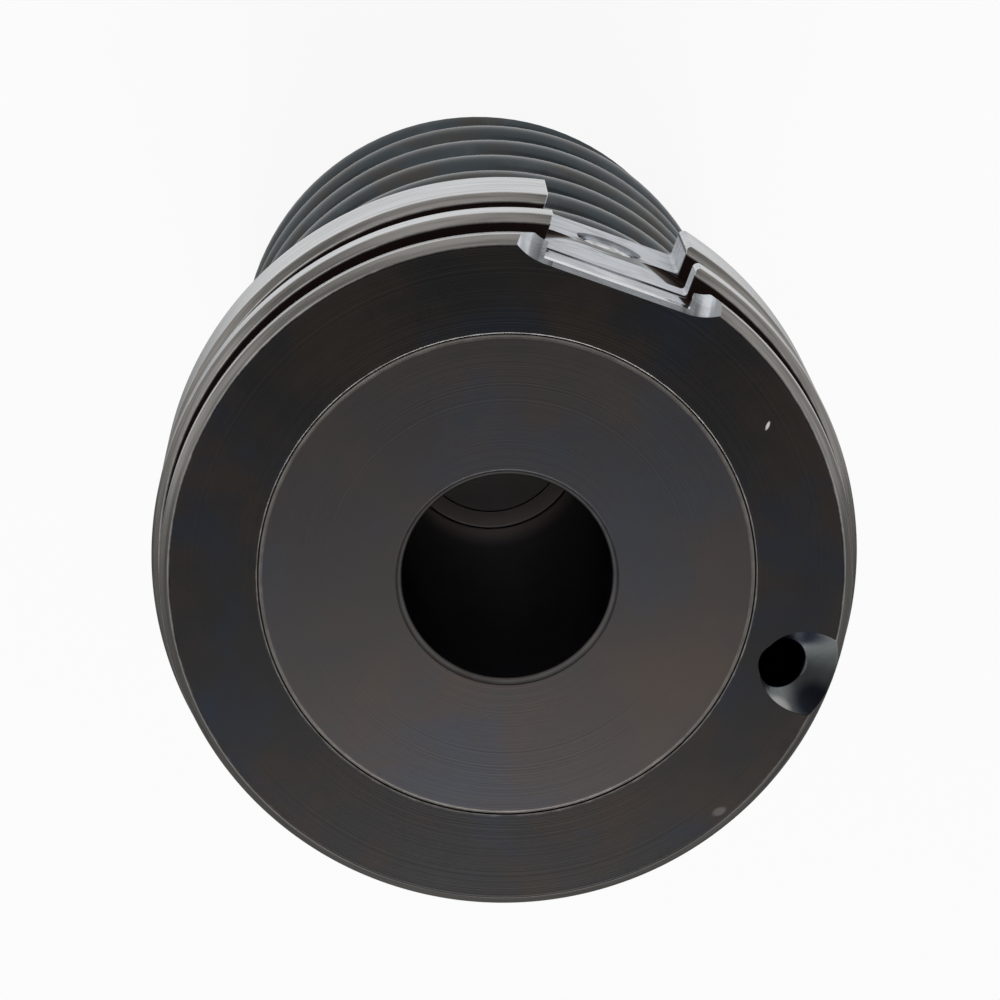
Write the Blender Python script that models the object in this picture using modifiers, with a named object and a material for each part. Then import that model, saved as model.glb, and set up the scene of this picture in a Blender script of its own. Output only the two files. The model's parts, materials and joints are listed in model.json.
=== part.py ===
"""Slip-in cartridge valve, size 60: a poppet that a large outer spring pulls onto its seat.

The valve stands on its spring plate with the control face up. Units are metres, +Z is up,
and the origin is the middle of the spring plate's underside, on the valve's axis.
Axial sizes are depths below the control face, except where a name says otherwise.
"""

import math

import bmesh
import bpy
from mathutils import Matrix, Vector

CLEARANCE = 0.0003            # gap left between pieces that touch, seat or slide
SEGMENTS = 64                 # facets round the large turned pieces
SMALL_SEGMENTS = 32           # facets round the small ones

# Collar of the seat sleeve, from the control face down
COLLAR_RADIUS = 0.0300
COLLAR_LENGTH = 0.0234
FRONT_LAND_STEP = 0.0009
FRONT_LAND_LENGTH = 0.0016
FACE_CHAMFER = 0.0008
FRONT_GROOVE_WIDTH = 0.0034
FRONT_GROOVE_DEPTH = 0.0029
MIDDLE_LAND_LENGTH = 0.0030
REAR_GROOVE_WIDTH = 0.0067
REAR_GROOVE_DEPTH = 0.0032
LAND_CHAMFER = 0.0007
SHOULDER_CHAMFER = 0.0005

# Notch milled along the collar: a square left wall, a rounded right one, a slightly deeper
# floor before the middle land, and a 45 degree conical relief at each end of its front edge
NOTCH_ANGLE = math.radians(70.5)
NOTCH_DEPTH = 0.00335
NOTCH_FLAT_WIDTH = 0.0128
NOTCH_SHOULDER_RADIUS = 0.0005
NOTCH_CORNER_RADIUS = 0.0003
NOTCH_ARC_STEPS = 6
POCKET_STEP = 0.00015
POCKET_CHAMFER = 0.0004
RELIEF_RADIUS = 0.0052
RELIEF_SPACING = 0.0124

# Plugged cross drilling in the floor of the notch
PLUG_RADIUS = 0.0025
PLUG_LENGTH = 0.0034
PLUG_RECESS = 0.0004
PLUG_DEPTH = 0.0167
PLUG_SIDE_OFFSET = -0.0006

# Control drilling: it slopes inward from the control face and opens under the seat
CONTROL_HOLE_RADIUS = 0.0022
CONTROL_HOLE_EDGE = 0.0040
CONTROL_HOLE_ANGLE = math.radians(-18.2)
CONTROL_HOLE_TILT = math.radians(35)
CONTROL_HOLE_LENGTH = 0.0120
COUNTERSINK_RADIUS = 0.0033
COUNTERSINK_TILT = math.radians(25)
COUNTERSINK_HALF_ANGLE = math.radians(42)
ORIFICE_DISTANCE = 0.0062
ORIFICE_LENGTH = 0.0042
ORIFICE_HOLE_RADIUS = 0.0006

# Poppet: head flush with the control face, 45 degree seat, hollow stem
FACE_RING_WIDTH = 0.0092
HEAD_EDGE = 0.0020
HEAD_CHAMFER = 0.0002
CAGE_SHOULDER = 0.0030
STEM_RADIUS = 0.0120
STEM_FILLET = 0.0040
BORE_RADIUS = 0.0088
BORE_DEPTH = 0.0500
BORE_CHAMFER = 0.0005
STROKE = 0.0070

# Pilot valve in the foot of the stem
PILOT_PLUG_RADIUS = 0.0072
PILOT_PLUG_LENGTH = 0.0046
PILOT_HOLE_RADIUS = 0.0022
PILOT_CHAMBER_RADIUS = 0.0058
PILOT_CHAMBER_LENGTH = 0.0125
PILOT_CONE_RADIUS = 0.0045
PILOT_CONE_LENGTH = 0.0062
PILOT_STEM_RADIUS = 0.0022
PILOT_STROKE = 0.0015
PILOT_WIRE_RADIUS = 0.0004
PILOT_SPRING_RADIUS = 0.0034
PILOT_TURNS = 4.5
PILOT_POINTS_PER_TURN = 12
CROSS_HOLE_RADIUS = 0.0015
CROSS_HOLE_COUNT = 4

# Guide cage that carries the stem inside the spring
CAGE_TOP_DEPTH = 0.0120
CAGE_SPIGOT_STEP = 0.0018
CAGE_TO_SPRING = 0.0008
CAGE_WALL = 0.0024
CAGE_HUB_LENGTH = 0.0180
CAGE_END_DEPTH = 0.0780
CAGE_RIB_LENGTH = 0.0022
WINDOW_COUNT = 4
WINDOW_WIDTH = 0.0150
WINDOW_LENGTH = 0.0260
WINDOW_CORNER = 0.0030
WINDOW_DEPTH = 0.0285
BUSH_WALL = 0.0020
SNAP_RING_WIDTH = 0.0013
SNAP_RING_HEIGHT = 0.0024
SNAP_RING_WALL = 0.0005
SNAP_RING_GAP = math.radians(24)
CAGE_PIN_RADIUS = 0.0008
CAGE_PIN_LENGTH = 0.0060

# Closing spring, washer, shim and plate
WIRE_RADIUS = 0.0030
SHOULDER_WIDTH = 0.0050
SPRING_LENGTH = 0.0650
SPRING_TURNS = 8.4
SPRING_END_GAP = 0.0010
SPRING_GROUND_TURNS = 0.55
SPRING_END_ANGLE = math.radians(-60)
SPRING_POINTS_PER_TURN = 26
WASHER_RECESS = 0.0008
WASHER_THICKNESS = 0.0020
SHIM_THICKNESS = 0.0008
PLATE_INSET = 0.0022
PLATE_THICKNESS = 0.0078
PLATE_SPIGOT_HEIGHT = 0.0026
PLATE_WEB = 0.0042
PLATE_CHAMFER = 0.0008
STOP_RING_RADIUS = 0.0158
STEM_NECK_RADIUS = 0.0105
STEM_THREAD_RADIUS = 0.0070
PLATE_PIN_RADIUS = 0.0008
PLATE_PIN_LENGTH = 0.0044
TAB_WASHER_THICKNESS = 0.0009
TAB_WIDTH = 0.0028
NUT_RADIUS = 0.0125
NUT_THICKNESS = 0.0042
NUT_SLOT_WIDTH = 0.0036
NUT_SLOT_DEPTH = 0.0018
NUT_SLOT_COUNT = 4

# Radii worked out from the sizes above
FRONT_LAND_RADIUS = COLLAR_RADIUS - FRONT_LAND_STEP
HEAD_RADIUS = COLLAR_RADIUS - FACE_RING_WIDTH
SPRING_OUTER_RADIUS = COLLAR_RADIUS - SHOULDER_WIDTH
FRONT_GROOVE_RADIUS = COLLAR_RADIUS - FRONT_GROOVE_DEPTH
REAR_GROOVE_RADIUS = COLLAR_RADIUS - REAR_GROOVE_DEPTH
NOTCH_FLAT_DISTANCE = COLLAR_RADIUS - NOTCH_DEPTH
CONTROL_HOLE_PITCH = FRONT_LAND_RADIUS - CONTROL_HOLE_EDGE
SPRING_INNER_RADIUS = SPRING_OUTER_RADIUS - 2 * WIRE_RADIUS
PLATE_RADIUS = SPRING_OUTER_RADIUS - PLATE_INSET
CAGE_TUBE_RADIUS = SPRING_INNER_RADIUS - CAGE_TO_SPRING
CAGE_BORE_RADIUS = CAGE_TUBE_RADIUS - CAGE_WALL
CAGE_SPIGOT_RADIUS = CAGE_TUBE_RADIUS + CAGE_SPIGOT_STEP
SEAT_BORE_RADIUS = CAGE_SPIGOT_RADIUS - CAGE_SHOULDER
BUSH_INNER_RADIUS = STEM_RADIUS + CLEARANCE
BUSH_OUTER_RADIUS = BUSH_INNER_RADIUS + BUSH_WALL

# Depths worked out from the sizes above
FRONT_GROOVE_END = FRONT_LAND_LENGTH + FRONT_GROOVE_WIDTH
MIDDLE_LAND_END = FRONT_GROOVE_END + MIDDLE_LAND_LENGTH
REAR_GROOVE_END = MIDDLE_LAND_END + REAR_GROOVE_WIDTH
SNAP_GROOVE_END = COLLAR_LENGTH - WASHER_RECESS - SNAP_RING_WALL
SNAP_GROOVE_TOP = SNAP_GROOVE_END - SNAP_RING_WIDTH - 2 * CLEARANCE
WASHER_TOP = COLLAR_LENGTH - WASHER_RECESS + CLEARANCE
SPRING_TOP = WASHER_TOP + WASHER_THICKNESS + CLEARANCE
SPRING_BOTTOM = SPRING_TOP + SPRING_LENGTH
SHIM_TOP = SPRING_BOTTOM + CLEARANCE
PLATE_SEAT = SHIM_TOP + SHIM_THICKNESS + CLEARANCE
PLATE_BOTTOM = PLATE_SEAT + PLATE_THICKNESS
PLATE_TOP = PLATE_SEAT - PLATE_SPIGOT_HEIGHT
STOP_RING_TOP = CAGE_END_DEPTH + STROKE + CLEARANCE
FACE_HEIGHT = PLATE_BOTTOM


def z_at(depth):
    """Height of a depth below the control face."""
    return FACE_HEIGHT - depth


def polar(radius, angle):
    return radius * math.cos(angle), radius * math.sin(angle)


def remove_all_objects():
    for item in list(bpy.data.objects):
        bpy.data.objects.remove(item, do_unlink=True)


def make_collection(name):
    collection = bpy.data.collections.new(name)
    bpy.context.scene.collection.children.link(collection)
    return collection


def make_material(name, colour, roughness, metallic=1.0):
    material = bpy.data.materials.new(name)
    material.use_nodes = True
    shader = material.node_tree.nodes["Principled BSDF"]
    shader.inputs["Base Color"].default_value = (*colour, 1.0)
    shader.inputs["Roughness"].default_value = roughness
    shader.inputs["Metallic"].default_value = metallic
    return material


def smooth(mesh):
    mesh.shade_smooth()
    mesh.set_sharp_from_angle(angle=math.radians(28))


def place(obj, collection, material=None):
    collection.objects.link(obj)
    if material:
        obj.data.materials.append(material)
    return obj


def arc(centre, radius, start, end, steps):
    """Points of an arc in the profile plane, angles in degrees from outward, up positive."""
    points = []
    for index in range(steps + 1):
        angle = math.radians(start + (end - start) * index / steps)
        points.append((centre[0] + radius * math.cos(angle), centre[1] + radius * math.sin(angle)))
    return points


def turned(name, outline, collection, material=None, closed=True, segments=SEGMENTS):
    """A turned piece: the outline runs down the outer side and, where bored, back up inside."""
    last = len(outline) if closed else len(outline) - 1
    edges = [(index, (index + 1) % len(outline)) for index in range(last)]
    mesh = bpy.data.meshes.new(name)
    mesh.from_pydata([(radius, 0.0, height) for radius, height in outline], edges, [])
    obj = place(bpy.data.objects.new(name, mesh), collection, material)
    screw = obj.modifiers.new("Turn", "SCREW")
    screw.angle = math.tau
    screw.steps = segments
    screw.render_steps = segments
    screw.use_merge_vertices = True
    screw.merge_threshold = 0.00001
    screw.use_smooth_shade = False
    return obj


def cutter_from(mesh_builder, name, matrix):
    """A wire-drawn cutting body in the cutters' collection."""
    mesh = bpy.data.meshes.new(name)
    build = bmesh.new()
    mesh_builder(build)
    build.to_mesh(mesh)
    build.free()
    obj = place(bpy.data.objects.new(name, mesh), CUTTERS)
    obj.matrix_world = matrix
    obj.hide_render = True
    obj.display_type = "WIRE"
    return obj


def cylinder_cutter(name, radius, length, matrix, tip_radius=None, segments=SMALL_SEGMENTS):
    """A cylinder, or a cone when a tip radius is given, centred on its own axis."""
    top = radius if tip_radius is None else tip_radius

    def build_cylinder(build):
        bmesh.ops.create_cone(build, cap_ends=True, segments=segments, radius1=radius,
                              radius2=top, depth=length)

    return cutter_from(build_cylinder, name, matrix)


def box_cutter(name, size, matrix, corner=0.0, corner_axis=2, inner_only=False):
    """A box whose edges along one of its axes are rounded; inner_only rounds those at -X."""

    def build_box(build):
        bmesh.ops.create_cube(build, size=1.0, matrix=Matrix.Diagonal((*size, 1.0)))
        if corner <= 0.0:
            return
        rounded = []
        for edge in build.edges:
            along = (edge.verts[0].co - edge.verts[1].co).normalized()
            middle = (edge.verts[0].co + edge.verts[1].co) / 2
            if abs(along[corner_axis]) > 0.9 and (middle.x < 0.0 or not inner_only):
                rounded.append(edge)
        bmesh.ops.bevel(build, geom=rounded, offset=corner, segments=6, profile=0.5,
                        affect="EDGES")

    return cutter_from(build_box, name, matrix)


def cut(obj, cutter, operation="DIFFERENCE"):
    boolean = obj.modifiers.new(cutter.name, "BOOLEAN")
    boolean.operation = operation
    boolean.solver = "EXACT"
    boolean.object = cutter
    return boolean


def bake_curve(curve_object, material):
    """Turn a capped curve into a closed mesh object of the same name and place."""
    name = curve_object.name
    graph = bpy.context.evaluated_depsgraph_get()
    mesh = bpy.data.meshes.new_from_object(curve_object.evaluated_get(graph))
    matrix = curve_object.matrix_world.copy()
    bpy.data.objects.remove(curve_object, do_unlink=True)
    build = bmesh.new()
    build.from_mesh(mesh)
    bmesh.ops.remove_doubles(build, verts=build.verts, dist=0.00001)
    bmesh.ops.recalc_face_normals(build, faces=build.faces)
    build.to_mesh(mesh)
    build.free()
    mesh.name = name
    mesh.materials.clear()
    obj = place(bpy.data.objects.new(name, mesh), PARTS, material)
    obj.matrix_world = matrix
    return obj


def coil(name, mean_radius, wire_radius, turns, heights, end_angle, points_per_turn, material):
    """A right-hand coil: heights(turn) gives the wire's height, counted from the lower tip."""
    count = int(round(turns * points_per_turn))
    curve = bpy.data.curves.new(name, "CURVE")
    curve.dimensions = "3D"
    curve.twist_mode = "Z_UP"
    curve.bevel_depth = wire_radius
    curve.bevel_resolution = 2
    curve.use_fill_caps = True
    spline = curve.splines.new("POLY")
    spline.points.add(count)
    for index in range(count + 1):
        turn = turns * index / count
        x, y = polar(mean_radius, end_angle + math.tau * turn)
        spline.points[index].co = (x, y, heights(turn), 1.0)
    obj = bpy.data.objects.new(name, curve)
    PARTS.objects.link(obj)
    bpy.context.view_layer.update()
    return bake_curve(obj, material)


def seat_collar():
    """Stepped collar with two seal grooves, the seat cone and the counterbore for the cage."""
    seat_sum = HEAD_RADIUS + HEAD_EDGE + CLEARANCE * math.sqrt(2)
    recess = HEAD_RADIUS + CLEARANCE
    cage_bore = CAGE_SPIGOT_RADIUS + CLEARANCE
    washer_bore = SPRING_OUTER_RADIUS + CLEARANCE
    ring_groove_radius = CAGE_TUBE_RADIUS + SNAP_RING_HEIGHT + 2 * CLEARANCE
    depths = [
        (recess, 0.0),
        (FRONT_LAND_RADIUS - FACE_CHAMFER, 0.0),
        (FRONT_LAND_RADIUS, FACE_CHAMFER),
        (FRONT_LAND_RADIUS, FRONT_LAND_LENGTH),
        (FRONT_GROOVE_RADIUS, FRONT_LAND_LENGTH),
        (FRONT_GROOVE_RADIUS, FRONT_GROOVE_END),
        (COLLAR_RADIUS - LAND_CHAMFER, FRONT_GROOVE_END),
        (COLLAR_RADIUS, FRONT_GROOVE_END + LAND_CHAMFER),
        (COLLAR_RADIUS, MIDDLE_LAND_END),
        (REAR_GROOVE_RADIUS, MIDDLE_LAND_END),
        (REAR_GROOVE_RADIUS, REAR_GROOVE_END),
        (COLLAR_RADIUS - LAND_CHAMFER, REAR_GROOVE_END),
        (COLLAR_RADIUS, REAR_GROOVE_END + LAND_CHAMFER),
        (COLLAR_RADIUS, COLLAR_LENGTH - SHOULDER_CHAMFER),
        (COLLAR_RADIUS - SHOULDER_CHAMFER, COLLAR_LENGTH),
        (washer_bore, COLLAR_LENGTH),
        (washer_bore, COLLAR_LENGTH - WASHER_RECESS),
        (cage_bore, COLLAR_LENGTH - WASHER_RECESS),
        (cage_bore, SNAP_GROOVE_END),
        (ring_groove_radius, SNAP_GROOVE_END),
        (ring_groove_radius, SNAP_GROOVE_TOP),
        (cage_bore, SNAP_GROOVE_TOP),
        (cage_bore, CAGE_TOP_DEPTH - CLEARANCE),
        (SEAT_BORE_RADIUS, CAGE_TOP_DEPTH - CLEARANCE),
        (SEAT_BORE_RADIUS, seat_sum - SEAT_BORE_RADIUS),
        (recess, seat_sum - recess),
    ]
    outline = [(radius, z_at(depth)) for radius, depth in depths]
    collar = turned("seat_collar", outline, PARTS, BLACK_STEEL)
    cut(collar, notch_cutter())
    cut(collar, pocket_cutter())
    for cutter in relief_cutters():
        cut(collar, cutter)
    cut(collar, plug_hole_cutter())
    for cutter in control_hole_cutters():
        cut(collar, cutter)
    cut(collar, cage_pin_cutter("collar_pin_hole"))
    return collar


def slab_cutter(name, near, far, matrix):
    """Cutter between two like outlines of (x, y, z) corners."""
    count = len(near)
    faces = [tuple(range(count)), tuple(range(count, 2 * count))]
    for index in range(count):
        after = (index + 1) % count
        faces.append((index, after, after + count, index + count))

    def build_slab(build):
        verts = [build.verts.new(corner) for corner in near + far]
        for face in faces:
            build.faces.new([verts[index] for index in face])
        bmesh.ops.recalc_face_normals(build, faces=build.faces)

    return cutter_from(build_slab, name, matrix)


def notch_frame():
    """Frame of the notch: X to its right along the face, Y outward, Z up."""
    return Matrix.Rotation(NOTCH_ANGLE - math.pi / 2, 4, "Z")


def notch_cutter():
    """Notch along the whole collar: square on the left, rounded corner and shoulder on the right."""
    outer = COLLAR_RADIUS * 1.2
    right = NOTCH_FLAT_WIDTH / 2
    rim = math.sqrt(COLLAR_RADIUS ** 2 - (right + NOTCH_SHOULDER_RADIUS) ** 2)
    corner = (right - NOTCH_CORNER_RADIUS, NOTCH_FLAT_DISTANCE + NOTCH_CORNER_RADIUS)
    shoulder = (right + NOTCH_SHOULDER_RADIUS, rim - NOTCH_SHOULDER_RADIUS)
    outline = [(-right, outer), (-right, NOTCH_FLAT_DISTANCE)]
    outline += arc(corner, NOTCH_CORNER_RADIUS, -90, 0, NOTCH_ARC_STEPS)
    outline += arc(shoulder, NOTCH_SHOULDER_RADIUS, 180, 75, NOTCH_ARC_STEPS)
    outline.append((outline[-1][0], outer))
    near = [(side, out, z_at(-COLLAR_LENGTH / 4)) for side, out in outline]
    far = [(side, out, z_at(COLLAR_LENGTH * 1.2)) for side, out in outline]
    return slab_cutter("notch_cut", near, far, notch_frame())


def pocket_cutter():
    """Deeper floor before the middle land, with a chamfer along its front edge."""
    floor = NOTCH_FLAT_DISTANCE - POCKET_STEP
    outer = COLLAR_RADIUS * 1.2
    above = 5 * POCKET_CHAMFER
    outline = [
        (outer, -above),
        (floor - POCKET_CHAMFER - above, -above),
        (floor, POCKET_CHAMFER),
        (floor, FRONT_GROOVE_END),
        (outer, FRONT_GROOVE_END),
    ]
    near = [(-NOTCH_FLAT_WIDTH / 2, out, z_at(depth)) for out, depth in outline]
    far = [(NOTCH_FLAT_WIDTH / 2, out, z_at(depth)) for out, depth in outline]
    return slab_cutter("pocket_cut", near, far, notch_frame())


def relief_cutters():
    """45 degree cones that widen the notch's front edge at both of its ends."""
    above = RELIEF_RADIUS / 5
    below = RELIEF_RADIUS * 0.9
    out = NOTCH_FLAT_DISTANCE - POCKET_STEP - POCKET_CHAMFER + RELIEF_RADIUS
    for name, side in (("relief_left", -1), ("relief_right", 1)):
        middle = (side * RELIEF_SPACING / 2, out, z_at((below - above) / 2))
        frame = notch_frame() @ Matrix.Translation(middle)
        yield cylinder_cutter(name, RELIEF_RADIUS - below, below + above, frame,
                              RELIEF_RADIUS + above, SEGMENTS)


def notch_radial(distance):
    """Frame on the plugged drilling: its Z points out of the notch floor."""
    turn = Matrix.Rotation(NOTCH_ANGLE, 4, "Z")
    shift = Matrix.Translation((distance, PLUG_SIDE_OFFSET, z_at(PLUG_DEPTH)))
    return turn @ shift @ Matrix.Rotation(math.radians(90), 4, "Y")


def plug_hole_cutter():
    bottom = NOTCH_FLAT_DISTANCE - PLUG_RECESS - PLUG_LENGTH - CLEARANCE
    top = NOTCH_FLAT_DISTANCE + PLUG_LENGTH
    frame = notch_radial((bottom + top) / 2)
    return cylinder_cutter("plug_hole", PLUG_RADIUS + CLEARANCE, top - bottom, frame)


def notch_plug():
    """Chamfered press plug that closes the cross drilling."""
    chamfer = PLUG_RADIUS / 5
    outline = [
        (0.0, 0.0),
        (PLUG_RADIUS - chamfer, 0.0),
        (PLUG_RADIUS, -chamfer),
        (PLUG_RADIUS, chamfer - PLUG_LENGTH),
        (PLUG_RADIUS - chamfer, -PLUG_LENGTH),
        (0.0, -PLUG_LENGTH),
    ]
    plug = turned("notch_plug", outline, PARTS, BRIGHT_STEEL, False, SMALL_SEGMENTS)
    plug.matrix_world = notch_radial(NOTCH_FLAT_DISTANCE - PLUG_RECESS)
    return plug


def control_frame(distance, lean=CONTROL_HOLE_TILT):
    """Frame on the control drilling at a distance below the face: its Z points out of it."""
    turn = Matrix.Rotation(CONTROL_HOLE_ANGLE, 4, "Z")
    entry = Matrix.Translation((CONTROL_HOLE_PITCH, 0.0, FACE_HEIGHT))
    tilt = Matrix.Rotation(lean, 4, "Y")
    return turn @ entry @ tilt @ Matrix.Translation((0.0, 0.0, -distance))


def control_hole_cutters():
    above = 2 * CONTROL_HOLE_RADIUS
    length = CONTROL_HOLE_LENGTH + above
    frame = control_frame(length / 2 - above)
    hole = cylinder_cutter("control_hole", CONTROL_HOLE_RADIUS, length, frame)
    widen = math.tan(COUNTERSINK_HALF_ANGLE)
    tip = CONTROL_HOLE_RADIUS / 8
    below = (COUNTERSINK_RADIUS - tip) / widen
    top = COUNTERSINK_RADIUS + above * widen
    frame = control_frame((below - above) / 2, COUNTERSINK_TILT)
    sink = cylinder_cutter("countersink", tip, below + above, frame, top)
    return hole, sink


def control_orifice():
    """Orifice screw deep in the control drilling, with a driving slot."""
    radius = CONTROL_HOLE_RADIUS - CLEARANCE
    chamfer = radius / 6
    outline = [
        (ORIFICE_HOLE_RADIUS, 0.0),
        (radius - chamfer, 0.0),
        (radius, -chamfer),
        (radius, chamfer - ORIFICE_LENGTH),
        (radius - chamfer, -ORIFICE_LENGTH),
        (ORIFICE_HOLE_RADIUS, -ORIFICE_LENGTH),
    ]
    screw = turned("control_orifice", outline, PARTS, BRASS, True, SMALL_SEGMENTS)
    screw.matrix_world = control_frame(ORIFICE_DISTANCE)
    slot_size = (3 * radius, radius / 3, radius / 2)
    cut(screw, box_cutter("orifice_slot", slot_size, control_frame(ORIFICE_DISTANCE)))
    return screw


def cage_windows(cage):
    middle = WINDOW_DEPTH + WINDOW_LENGTH / 2
    reach = 2 * CAGE_TUBE_RADIUS
    for index in range(WINDOW_COUNT):
        turn = Matrix.Rotation(math.tau * index / WINDOW_COUNT, 4, "Z")
        shift = Matrix.Translation((reach / 2, 0.0, z_at(middle)))
        size = (reach, WINDOW_WIDTH, WINDOW_LENGTH)
        cut(cage, box_cutter("cage_window_%d" % (index + 1), size, turn @ shift, WINDOW_CORNER, 0))


def guide_cage():
    """Windowed tube under the collar that guides the stem in two bushes."""
    hub_top = CAGE_END_DEPTH - CAGE_HUB_LENGTH
    rib_top = CAGE_END_DEPTH - CAGE_HUB_LENGTH / 2 - CAGE_RIB_LENGTH / 2
    rib_end = rib_top + CAGE_RIB_LENGTH
    bush_bore = BUSH_OUTER_RADIUS + CLEARANCE
    rib_radius = BUSH_INNER_RADIUS + BUSH_WALL / 3
    lead = (CAGE_SPIGOT_RADIUS - CAGE_BORE_RADIUS) / 4
    depths = [
        (CAGE_BORE_RADIUS + lead, CAGE_TOP_DEPTH),
        (CAGE_SPIGOT_RADIUS, CAGE_TOP_DEPTH),
        (CAGE_SPIGOT_RADIUS, SNAP_GROOVE_TOP),
        (CAGE_TUBE_RADIUS, SNAP_GROOVE_TOP),
        (CAGE_TUBE_RADIUS, CAGE_END_DEPTH - lead),
        (CAGE_TUBE_RADIUS - lead, CAGE_END_DEPTH),
        (bush_bore, CAGE_END_DEPTH),
        (bush_bore, rib_end),
        (rib_radius, rib_end),
        (rib_radius, rib_top),
        (bush_bore, rib_top),
        (bush_bore, hub_top),
        (CAGE_BORE_RADIUS, hub_top),
        (CAGE_BORE_RADIUS, CAGE_TOP_DEPTH + lead),
    ]
    outline = [(radius, z_at(depth)) for radius, depth in depths]
    cage = turned("guide_cage", outline, PARTS, DARK_STEEL)
    cage_windows(cage)
    cut(cage, cage_pin_cutter("cage_pin_hole"))
    return cage


def guide_bushes():
    """Two plain bearings, one each side of the cage's inner rib."""
    hub_top = CAGE_END_DEPTH - CAGE_HUB_LENGTH
    rib_top = CAGE_END_DEPTH - CAGE_HUB_LENGTH / 2 - CAGE_RIB_LENGTH / 2
    spans = {
        "upper_guide_bush": (hub_top + CLEARANCE, rib_top - CLEARANCE),
        "lower_guide_bush": (rib_top + CAGE_RIB_LENGTH + CLEARANCE, CAGE_END_DEPTH - CLEARANCE),
    }
    for name, (top, end) in spans.items():
        chamfer = BUSH_WALL / 5
        outline = [
            (BUSH_INNER_RADIUS, z_at(top)),
            (BUSH_OUTER_RADIUS - chamfer, z_at(top)),
            (BUSH_OUTER_RADIUS, z_at(top + chamfer)),
            (BUSH_OUTER_RADIUS, z_at(end - chamfer)),
            (BUSH_OUTER_RADIUS - chamfer, z_at(end)),
            (BUSH_INNER_RADIUS, z_at(end)),
        ]
        turned(name, outline, PARTS, BRONZE, True, SMALL_SEGMENTS)


def ring(name, inner, outer, top, end, material, segments=SEGMENTS):
    """A plain flat ring between two depths."""
    outline = [(inner, z_at(top)), (outer, z_at(top)), (outer, z_at(end)), (inner, z_at(end))]
    return turned(name, outline, PARTS, material, True, segments)


def cage_snap_ring():
    """Open spring ring that holds the cage in the collar."""
    inner = CAGE_TUBE_RADIUS + CLEARANCE
    top = SNAP_GROOVE_TOP + CLEARANCE
    end = top + SNAP_RING_WIDTH
    snap_ring = ring("cage_snap_ring", inner, inner + SNAP_RING_HEIGHT, top, end, BLACK_STEEL)
    reach = inner + 2 * SNAP_RING_HEIGHT
    size = (reach, 2 * inner * math.sin(SNAP_RING_GAP / 2), 3 * SNAP_RING_WIDTH)
    frame = Matrix.Translation((-reach / 2 - SNAP_RING_HEIGHT, 0.0, z_at((top + end) / 2)))
    cut(snap_ring, box_cutter("snap_ring_gap", size, frame))
    return snap_ring


def cage_pin_frame():
    """Middle of the dowel that keys the cage, in the top face of its spigot."""
    radius = (SEAT_BORE_RADIUS + CAGE_SPIGOT_RADIUS + CLEARANCE) / 2
    return Matrix.Translation((-radius, 0.0, z_at(CAGE_TOP_DEPTH)))


def cage_pin_cutter(name):
    radius = CAGE_PIN_RADIUS + CLEARANCE
    length = CAGE_PIN_LENGTH + 2 * CLEARANCE
    return cylinder_cutter(name, radius, length, cage_pin_frame(), None, SMALL_SEGMENTS // 2)


def dowel(name, radius, length, matrix, material):
    """Straight pin with chamfered ends, centred on its frame."""
    chamfer = radius / 4
    half = length / 2
    outline = [
        (0.0, half),
        (radius - chamfer, half),
        (radius, half - chamfer),
        (radius, chamfer - half),
        (radius - chamfer, -half),
        (0.0, -half),
    ]
    pin = turned(name, outline, PARTS, material, False, SMALL_SEGMENTS // 2)
    pin.matrix_world = matrix
    return pin


def closing_spring():
    """Right-hand outer spring with closed, ground ends, from the washer to the shim."""
    closed_pitch = 2 * WIRE_RADIUS + SPRING_END_GAP
    ground = SPRING_GROUND_TURNS * closed_pitch
    travel = SPRING_LENGTH + 2 * ground
    open_pitch = (travel - 2 * closed_pitch) / (SPRING_TURNS - 2)

    def heights(turn):
        inner_turn = min(max(turn - 1, 0.0), SPRING_TURNS - 2)
        end_turns = turn - inner_turn
        return z_at(SPRING_BOTTOM) - ground + closed_pitch * end_turns + open_pitch * inner_turn

    spring = coil("closing_spring", SPRING_OUTER_RADIUS - WIRE_RADIUS, WIRE_RADIUS, SPRING_TURNS,
                  heights, SPRING_END_ANGLE, SPRING_POINTS_PER_TURN, SPRING_STEEL)
    for name, depth, side in (("spring_grind_top", SPRING_TOP, 1),
                              ("spring_grind_bottom", SPRING_BOTTOM, -1)):
        height = 4 * WIRE_RADIUS
        size = (3 * SPRING_OUTER_RADIUS, 3 * SPRING_OUTER_RADIUS, height)
        frame = Matrix.Translation((0.0, 0.0, z_at(depth) + side * height / 2))
        cut(spring, box_cutter(name, size, frame))
    smooth(spring.data)
    return spring


def pilot_depths():
    """Depths of the pilot parts: end of the plug, floor of its seat and end of the chamber."""
    plug_end = BORE_DEPTH + PILOT_PLUG_LENGTH
    floor = plug_end + CLEARANCE
    return plug_end, floor, floor + PILOT_CHAMBER_LENGTH


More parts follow.
